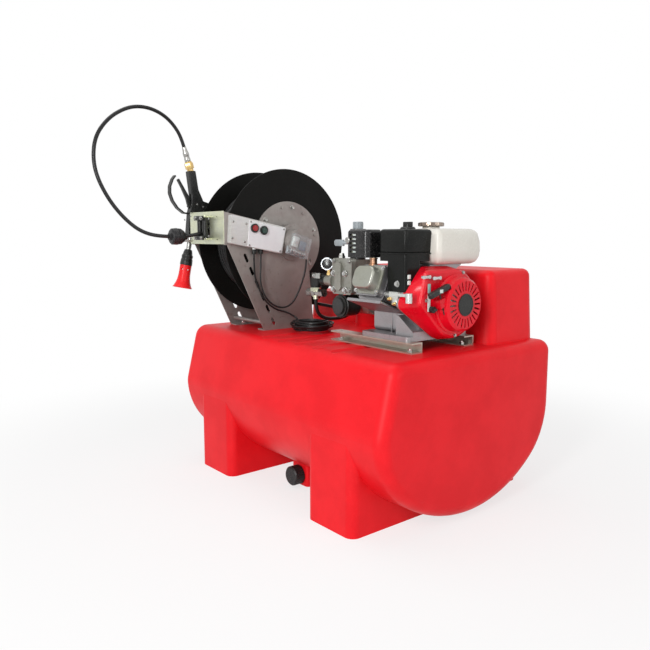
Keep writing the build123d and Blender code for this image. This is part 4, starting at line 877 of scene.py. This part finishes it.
# the bypass tap's long wing, on its own turning body
bypass = {
    "y": -102, "z": 785, "stemX": 92, "stem": [(7, 0), (7, 6), (5, 8), (5, 34)],
    "wingX": (22, 60), "halfThick": 3.5, "halfHigh": 10, "tip": 6, "tipShare": 0.6,
}
tapStem = turnShape(bypass["stem"], 24)
standAt(tapStem, at(bypass["stemX"], bypass["y"], bypass["z"]), (-1, 0, 0))
wing = addBox(
    at(bypass["wingX"][0], bypass["y"] - bypass["halfThick"], bypass["z"] - bypass["halfHigh"]),
    at(bypass["wingX"][1], bypass["y"] + bypass["halfThick"], bypass["z"] + bypass["halfHigh"]),
)
bpy.ops.object.mode_set(mode="EDIT")
pickFaces(lambda middle, normal: normal.x < -0.9)
bpy.ops.mesh.inset(thickness=0.001)
bpy.ops.mesh.extrude_region_move(TRANSFORM_OT_translate={"value": (-bypass["tip"] / 1000, 0, 0)})
tipMiddle = at(bypass["wingX"][0] - bypass["tip"], bypass["y"], bypass["z"])
bpy.ops.transform.resize(value=(1, 1, bypass["tipShare"]), center_override=tipMiddle)
bpy.ops.object.mode_set(mode="OBJECT")
softenEdges(wing, 0.003, 3)
joinInto(tapStem, wing)
finishPiece(tapStem, "bypass_wing", "bypass_tap", "greyPlastic", ["bypass_tap"])
print("pump dressed")

# gun: brass nut and crimped sleeve at its top, ribs on the grip, black sleeve over the lance's collar
fittings = {
    "nut": [(14.6, 7), (15.4, 8.5), (15.4, 25), (14.4, 27)],
    "nutSpin": 0.3,
    "collar": [(11, -7.7), (11, 7), (12.4, 27), (12.4, 31), (9.6, 32.5)],
    "crimp": [
        (9.4, 31), (10.4, 33), (10.4, 43), (9.3, 45), (9.3, 50), (10.4, 52), (10.4, 61), (8.8, 66), (7.4, 76),
        (6.6, 82),
    ],
    "sleeve": [
        (9.2, 44), (13.2, 46), (14.4, 52), (15.2, 53), (16.6, 62), (19.4, 66), (19.4, 72), (18.8, 73),
        (18.8, 78), (20.2, 80), (21.3, 97), (20.2, 100.5),
    ],
}
ferrulePlace = at(gun["x"], *gun["ferrule"])
ferruleAxis = (0, -math.sin(gun["ferruleTilt"]), math.cos(gun["ferruleTilt"]))
nut = turnShape(fittings["nut"], 6)
collar = turnShape(fittings["collar"], 28)
brassNut = standAt(joinInto(nut, collar), ferrulePlace, ferruleAxis, fittings["nutSpin"])
finishPiece(brassNut, "hose_nut", "frame", "brass", ["hose_ferrule"])
turnedPiece("hose_crimp", fittings["crimp"], 28, ferrulePlace, ferruleAxis, "satinSteel")

lancePlace = at(gun["x"], *gun["lance"])
lanceAxis = (0, -math.sin(gun["lanceTilt"]), -math.cos(gun["lanceTilt"]))
turnedPiece("lance_sleeve", fittings["sleeve"], 36, lancePlace, lanceAxis, "mouldedBlack")
gunSide = gun["x"] + gun["halfWidth"]
ribs = {"count": 4, "pitch": 5.4, "y": (-363, -361.6), "z": (952, 1021), "sink": 0.4, "proud": 1.2}
for index in range(ribs["count"]):
    (backY, frontY), (lowZ, highZ) = ribs["y"], ribs["z"]
    low = at(gunSide - ribs["sink"], backY + ribs["pitch"] * index, lowZ)
    high = at(gunSide + ribs["proud"], frontY + ribs["pitch"] * index, highZ)
    softBox(f"gun_rib_{index + 1}", low, high, 0.0005, "mouldedBlack")
screwRow("gun_screw", [at(gunSide, y, z) for y, z in ((-341, 915), (-318, 907))], toRight, 0.0034)
print("gun dressed")

# roller box: black roller blocks and bolts on its face
rollerBox = {
    "blocks": {"top": (857, 872), "bottom": (793, 808)},  # low and high edge
    "blockX": (-352, -292),
    "blockThick": 4,
    "blockLift": 0.0042,
    "nutX": (-341, -303),
    "nutLift": 0.004,
    "bolts": [(-421, 861), (-258, 862), (-260, 806), (-420, 806), (-378, 872), (-376, 798), (-280, 798)],
}
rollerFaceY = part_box("roller_bracket")[0].y
for blockName, (low, high) in rollerBox["blocks"].items():
    left, right = rollerBox["blockX"]
    block = addBox(at(left, 0, low), at(right, rollerBox["blockThick"], high))
    block.data.transform(Matrix.Translation((0, rollerFaceY - tankY - rollerBox["blockLift"], 0)))
    softenEdges(block, 0.0016, 2)
    finishPiece(block, f"roller_block_{blockName}", "frame", "mouldedBlack")
    nutY, nutZ = rollerFaceY - rollerBox["nutLift"], (low + high) / 2000
    places = [Vector((x / 1000, nutY, nutZ)) for x in rollerBox["nutX"]]
    boltRow(f"roller_nut_{blockName}", places, toFront, 0.0052, "frame", "satinSteel")
boxPlaces = [Vector((x / 1000, rollerFaceY, z / 1000)) for x, z in rollerBox["bolts"]]
screwRow("roller_box_bolt", boxPlaces, toFront, 0.0036)
print("roller box dressed")

# relay box: tray, clear lid and what shows through it; spans are millimetres out, along and up
relay = {
    "place": at(-166, -108, 772), "tilt": -17,
    "back": -15, "seam": -8, "front": 15, "along": (-40, 40), "up": (-36, 36), "lidWall": 0.0014,
    "terminals": 7, "firstTerminal": -31, "terminalPitch": 9.4, "terminalWidth": 5.4,
}
relayTurn = Matrix.Translation(relay["place"]) @ Matrix.Rotation(math.radians(relay["tilt"]), 4, "X")


def spanBox(spanX, spanY, spanZ):
    return addBox(*([value / 1000 for value in corner] for corner in zip(spanX, spanY, spanZ)))


def relayPart(name, spanX, spanY, spanZ, finishName, soft, replaced=()):
    part = spanBox(spanX, spanY, spanZ)
    softenEdges(part, soft, 2)
    part.data.transform(relayTurn)
    return finishPiece(part, name, "frame", finishName, replaced)


traySpan = (relay["back"], relay["seam"])
relayPart(
    "relay_tray", traySpan, relay["along"], relay["up"], "greyPlastic", 0.003, ["relay_box"],
)
relayPart("relay_switch", (-8, 7), (-33, -9), (-8, 27), "stripPale", 0.002)
relayPart("relay_switch_cap", (7, 9), (-29, -13), (4, 22), "armPale", 0.001)
relayPart("relay_block", (-8, 5), (0, 27), (-12, 19), "boardGrey", 0.002)
relayPart("relay_rail", (-8, -3), (-34, 34), (-31, -17), "mouldedBlack", 0.001)
for index in range(relay["terminals"]):
    left = relay["firstTerminal"] + relay["terminalPitch"] * index
    span = (left, left + relay["terminalWidth"])
    relayPart(f"relay_terminal_{index + 1}", (-3, 4), span, (-29, -19), "brightSteel", 0.0008)
lid = spanBox((relay["seam"], relay["front"]), relay["along"], relay["up"])
softenEdges(lid, 0.004, 3)
bpy.ops.object.mode_set(mode="EDIT")
pickFaces(lambda middle, normal: normal.x < -0.9)
bpy.ops.mesh.delete(type="FACE")
bpy.ops.object.mode_set(mode="OBJECT")
shell = lid.modifiers.new("shell", "SOLIDIFY")
shell.thickness = relay["lidWall"]
bpy.ops.object.modifier_apply(modifier="shell")
lid.data.transform(relayTurn)
finishPiece(lid, "relay_lid", "frame", "clearLid")
print("relay box made")

# engine: starter
crank = {"y": -31, "z": 618}
starter = {
    "disc": [(31, 0.4), (31, 1.8), (30, 2.6)], "rim": 0.0034, "sink": 0.0008,
    "plate": at(488.2, -126, 660), "plateLow": (0.0012, 0.006, 0.005), "plateHigh": (0.001, 0.006, 0.005),
}
crankPlace = Vector((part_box("recoil_cover")[1].x, tankY + crank["y"] / 1000, crank["z"] / 1000))
disc = standAt(turnShape(starter["disc"], 48), crankPlace, toRight)
bpy.context.view_layer.objects.active = disc
sinkTop(Vector(toRight), starter["rim"], starter["sink"])
finishPiece(disc, "starter_centre_disc", "frame", "mouldedBlack")
low, high = starter["plate"] - Vector(starter["plateLow"]), starter["plate"] + Vector(starter["plateHigh"])
softBox("starter_grip_plate", low, high, 0.0012, "stripPale", body="starter_grip")

# engine: pale strips, bolts and small fittings on the shroud and the duct
shroud = {
    "strips": {"upper": (654, 679, "stripAqua"), "lower": (604, 651, "stripPale")},
    "stripY": (-146, -135), "stripX": (0.2, 1.4), "bolts": [(0, 705), (-30, 529), (-150, 634)],
}
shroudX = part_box("fan_shroud")[1].x * 1000
for stripName, (lowZ, highZ, stripFinish) in shroud["strips"].items():
    low, high = (
        at(shroudX + lift, y, z) for lift, y, z in zip(shroud["stripX"], shroud["stripY"], (lowZ, highZ))
    )
    softBox(f"lever_strip_{stripName}", low, high, 0.0004, stripFinish)
shroudPlaces = [at(shroudX, y, z) for y, z in shroud["bolts"]]
boltRow("shroud_bolt", shroudPlaces, toRight, 0.0042, "frame", "satinSteel")
duct = {
    "blockZ": (697, 681), "blockY": (-182, -171), "blockX": (-1, 3), "blockHalf": 6,
    "bolt": (385, -190.2, 677), "sideBolt": (-164, 663), "boltSize": 0.0068,
}
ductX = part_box("air_cleaner_base")[1].x * 1000
for index, z in enumerate(duct["blockZ"]):
    heights = (z - duct["blockHalf"], z + duct["blockHalf"])
    low, high = (
        at(ductX + lift, y, height) for lift, y, height in zip(duct["blockX"], duct["blockY"], heights)
    )
    softBox(f"duct_block_{index + 1}", low, high, 0.0014, "stripPale")
boltRow("duct_bolt", [at(*duct["bolt"])], toFront, duct["boltSize"], "frame")
boltRow("duct_side_bolt", [at(ductX, *duct["sideBolt"])], toRight, duct["boltSize"], "frame")
softBox("fuel_lever", at(417, -160, 674), at(436, -153, 681), 0.0018, "mouldedBlack")
plugs = [
    {"place": at(371, -203, 636), "radius": 5.5, "sides": 6},
    {"place": at(391, -204, 624), "radius": 5, "sides": 12},
]
for index, plug in enumerate(plugs):
    radius = plug["radius"]
    stations = [(radius, -4), (radius, 3), (radius * 0.7, 4), (radius * 0.7, 8), (radius * 0.5, 9)]
    turnedPiece(f"carburettor_plug_{index + 1}", stations, plug["sides"], plug["place"], toFront, "brass")

# engine: air cleaner's lid, its lip and its wing nut
cleaner = {
    "x": (311, 414), "y": (-190, -83), "z": (758, 825.5), "corner": 0.0095,
    "lip": 1.6, "lipZ": (757, 761.5), "nut": (373, -139.5),
    "foot": [(21, 0), (21, 3), (18, 6), (9, 7), (8, 13), (5, 15)],
    "wingLow": (-0.015, -0.0035, 0.008), "wingHigh": (0.015, 0.0035, 0.0185), "wingMiddle": (0, 0, 0.014),
}
low, high = (at(*corner) for corner in zip(cleaner["x"], cleaner["y"], cleaner["z"]))
cover = addBox(low, high)
softenEdges(cover, cleaner["corner"], 5)
lip = cleaner["lip"]
lipLow = at(cleaner["x"][0] - lip, cleaner["y"][0] - lip, cleaner["lipZ"][0])
lipHigh = at(cleaner["x"][1] + lip, cleaner["y"][1] + lip, cleaner["lipZ"][1])
lipPiece = addBox(lipLow, lipHigh)
softenEdges(lipPiece, 0.0014, 2)
joinInto(cover, lipPiece)
finishPiece(cover, "air_cleaner_lid", "frame", "satinBlack", ["air_cleaner_cover"])
nutPlace = at(*cleaner["nut"], cleaner["z"][1])
foot = standAt(turnShape(cleaner["foot"], 32), nutPlace, upward)
wings = addBox(nutPlace + Vector(cleaner["wingLow"]), nutPlace + Vector(cleaner["wingHigh"]))
bpy.ops.object.mode_set(mode="EDIT")
pickFaces(lambda middle, normal: abs(normal.x) > 0.9)
wingMiddle = nutPlace + Vector(cleaner["wingMiddle"])
bpy.ops.transform.resize(value=(1.0, 1.35, 1.3), center_override=wingMiddle)
bpy.ops.object.mode_set(mode="OBJECT")
softenEdges(wings, 0.0016, 2)
finishPiece(joinInto(foot, wings), "air_cleaner_nut", "frame", "mouldedBlack")

# engine: fuel tank, drawn out to its seam and in again, and its cap
fuelTank = {
    "x": (244, 434), "y": (-81, 88),
    "profile": [  # share of the full size, and height in metres
        (0.9, 0.727), (0.98, 0.749), (1.0, 0.7645), (1.0, 0.768), (0.99, 0.79), (0.945, 0.813),
        (0.87, 0.8275),
    ],
    "corner": 0.02, "seamCorner": 0.022, "seamZ": (764.8, 767.6),
    "neck": [(25, -6), (25, 5), (22, 7)], "neckZ": 828,
    "cap": [
        (35, 0), (38, 1.5), (38, 8.5), (36.5, 11), (31, 12.5), (27, 12.5), (25, 11.2), (12, 11),
        (10, 12.6), (6, 13),
    ],
    "capPlace": (339, -7), "capZ": 834, "capFacet": 6.667, "capGrip": 0.955,
}
(tankLeft, tankRight), (tankFront, tankBack) = fuelTank["x"], fuelTank["y"]
startFresh()
middle = at((tankLeft + tankRight) / 2, (tankFront + tankBack) / 2, 0)
bpy.ops.mesh.primitive_plane_add(size=1, location=(0, 0, fuelTank["profile"][0][1]))
bpy.context.object.scale = ((tankRight - tankLeft) / 1000, (tankBack - tankFront) / 1000, 1)
settle()
tankShape = stackUp(fuelTank["profile"])
tankShape.data.transform(Matrix.Translation(middle))
softenEdges(tankShape, fuelTank["corner"], 5, 60)
softenEdges(tankShape, 0.004, 3, 18)
seamLow, seamHigh = fuelTank["seamZ"]
seam = addBox(at(tankLeft - 2.5, tankFront + 1, seamLow), at(tankRight + 2.5, tankBack + 2.5, seamHigh))
softenEdges(seam, fuelTank["seamCorner"], 5, 60)
neck = standAt(turnShape(fuelTank["neck"], 40), at(*fuelTank["capPlace"], fuelTank["neckZ"]), upward)
joinInto(tankShape, seam, neck)
finishPiece(tankShape, "fuel_tank_shell", "frame", "fuelTankCream", ["fuel_tank"])
fuelCap = turnShape(fuelTank["cap"], 54)
bpy.ops.object.mode_set(mode="EDIT")
pickFaces(
    lambda middle, normal: 0.035 < math.hypot(middle.x, middle.y) and abs(normal.z) < 0.2
    and round(math.degrees(math.atan2(middle.y, middle.x)) / fuelTank["capFacet"]) % 3 == 0
)
bpy.ops.transform.resize(value=(fuelTank["capGrip"], fuelTank["capGrip"], 1), center_override=(0, 0, 0))
bpy.ops.object.mode_set(mode="OBJECT")
standAt(fuelCap, at(*fuelTank["capPlace"], fuelTank["capZ"]), upward)
# the cap's brown finish is a painted reflection of what the chrome reflects
finishPiece(fuelCap, "fuel_cap_shell", "fuel_cap", "capBronze", ["fuel_cap"])

# engine: muffler fittings, a pale plate of painted light behind the shield's slots, and the exhaust's heated
# stub
muffler = {
    "plateX": (226, 256), "plateZ": (757, 821), "plateDepth": (3.4, 4.4),
    "button": [(9.5, -1), (9.5, 2), (8, 3.4), (5, 3.4), (4.4, 2.2)], "buttonPlace": (208, 794),
    "stub": [(13.5, -1), (13.5, 4), (10.4, 5), (10.4, 17), (12, 18), (12, 21)],
}
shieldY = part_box("muffler_shield")[0].y * 1000 - tankY * 1000
# the pale plate just behind the shield's slots is painted light: it stands in for the brightness that shows
# through them
plateSpans = zip(muffler["plateX"], muffler["plateDepth"], muffler["plateZ"])
low, high = (at(x, shieldY + depth, z) for x, depth, z in plateSpans)
softBox("muffler_painted_light_plate", low, high, 0.0006, "stripPale", 1)
buttonX, buttonZ = muffler["buttonPlace"]
turnedPiece("muffler_button", muffler["button"], 28, at(buttonX, shieldY, buttonZ), toFront, "satinSteel")
turnedPiece("exhaust_stub_sleeve", muffler["stub"], 28, at(278, -178, 724), upward, "heatedCopper")

# engine: bolts round the rocker cover, ribs and bolts on the crankcase
rocker = {"x": 292, "tilt": math.radians(21), "reach": 0.189, "sides": (-42, 42), "lifts": (-34, 34)}
barrelAxis = Vector((0, -math.cos(rocker["tilt"]), math.sin(rocker["tilt"])))
barrelUp = Vector((0, math.sin(rocker["tilt"]), math.cos(rocker["tilt"])))
rockerPlaces = []
for side in rocker["sides"]:
    for lift in rocker["lifts"]:
        root = at(rocker["x"] + side, crank["y"], crank["z"])
        rockerPlaces.append(root + barrelAxis * rocker["reach"] + barrelUp * lift / 1000)
boltRow("rocker_bolt", rockerPlaces, barrelAxis, 0.0046, "frame", "brightSteel")
caseRibs = {"x": (300, 318, 336), "thick": 4, "y": (-127, -122), "z": (528, 588), "lean": 0.004}
for index, x in enumerate(caseRibs["x"]):
    (frontY, backY), (lowZ, highZ) = caseRibs["y"], caseRibs["z"]
    rib = addBox(at(x, frontY, lowZ), at(x + caseRibs["thick"], backY, highZ))
    bpy.ops.object.mode_set(mode="EDIT")
    pickFaces(lambda middle, normal: normal.z > 0.9)
    bpy.ops.transform.translate(value=(0, caseRibs["lean"], 0))
    bpy.ops.object.mode_set(mode="OBJECT")
    softenEdges(rib, 0.0012, 2)
    finishPiece(rib, f"crankcase_rib_{index + 1}", "frame", "castAluminium")
boltRow("crankcase_bolt", [at(x, -133, 524) for x in (305, 352)], toFront, 0.0058, "frame")
print("engine dressed")

# floor, world and lamps
floorLook = {"size": 40.0, "colour": (0.86, 0.86, 0.86), "near": 0.72, "fade": (0.9, 2.0)}


def seenRay(bench):
    # 1 for the rays that look at the backdrop, straight or through metal and glass
    path = bench.node("ShaderNodeLightPath", {}, {}, "Is Camera Ray")
    seen = path
    for rayName in ("Is Glossy Ray", "Is Transmission Ray"):
        seen = seen.maths("MAXIMUM", seen, Wire(bench, path.socket.node.outputs[rayName]))
    return seen


startFresh()
bpy.ops.mesh.primitive_plane_add(size=floorLook["size"])
floorObject = bpy.context.object
floorObject.name = "floor"
floorMaterial = bpy.data.materials.new("floorWhite")
floorMaterial.use_nodes = True
floorBench = Bench(floorMaterial.node_tree)
floorShader = floorMaterial.node_tree.nodes["Principled BSDF"]
floorShader.inputs["Base Color"].default_value = (*floorLook["colour"], 1)
floorShader.inputs["Roughness"].default_value = 0.9
floorShader.inputs["Specular IOR Level"].default_value = 0.0
floorSpot = floorBench.node("ShaderNodeTexCoord", {}, {}, "Object")
floorReach = floorBench.node("ShaderNodeVectorMath", {"operation": "LENGTH"}, {0: floorSpot}, "Value")
fade = floorBench.step(floorReach, *floorLook["fade"]) * (1 - floorLook["near"]) + floorLook["near"]
backdrop = floorBench.node("ShaderNodeEmission", {}, {"Color": (1, 1, 1, 1), "Strength": 1.0})
floorMix = floorBench.node(
    "ShaderNodeMixShader",
    {},
    {0: fade * seenRay(floorBench), 1: Wire(floorBench, floorShader.outputs[0]), 2: backdrop},
)
floorOut = floorMaterial.node_tree.nodes["Material Output"]
floorMaterial.node_tree.links.new(floorMix.socket, floorOut.inputs["Surface"])
floorObject.data.materials.append(floorMaterial)

world = bpy.data.worlds.new("studio")
bpy.context.scene.world = world
world.use_nodes = True
studio = Bench(world.node_tree)
worldLook = {"lit": 0.42, "seen": 1.0}
sky = world.node_tree.nodes["Background"]
sky.inputs["Color"].default_value = (1, 1, 1, 1)
strength = seenRay(studio) * (worldLook["seen"] - worldLook["lit"]) + worldLook["lit"]
world.node_tree.links.new(strength.socket, sky.inputs["Strength"])

lamps = {
    "key": dict(place=(1.7, -3.5, 1.9), size=(0.6, 2.6), power=100),
    "side": dict(place=(4.2, 0.6, 2.0), size=(2.0, 2.0), power=28),
    "top": dict(place=(-0.8, -0.6, 4.2), size=(3.0, 3.0), power=46),
}
for lampName, lamp in lamps.items():
    lampData = bpy.data.lights.new(lampName, "AREA")
    lampData.shape = "RECTANGLE"
    lampData.energy = lamp["power"]
    lampData.size, lampData.size_y = lamp["size"]
    lampObject = bpy.data.objects.new(lampName, lampData)
    lampObject.location = lamp["place"]
    aim = Vector((0, 0, 0.5)) - Vector(lamp["place"])
    lampObject.rotation_euler = aim.to_track_quat("-Z", "Y").to_euler()
    bpy.context.scene.collection.objects.link(lampObject)
bpy.context.scene.view_settings.view_transform = "Standard"
print("floor and lamps set")

for master in (hexBolt, panScrew):
    bpy.data.objects.remove(master)
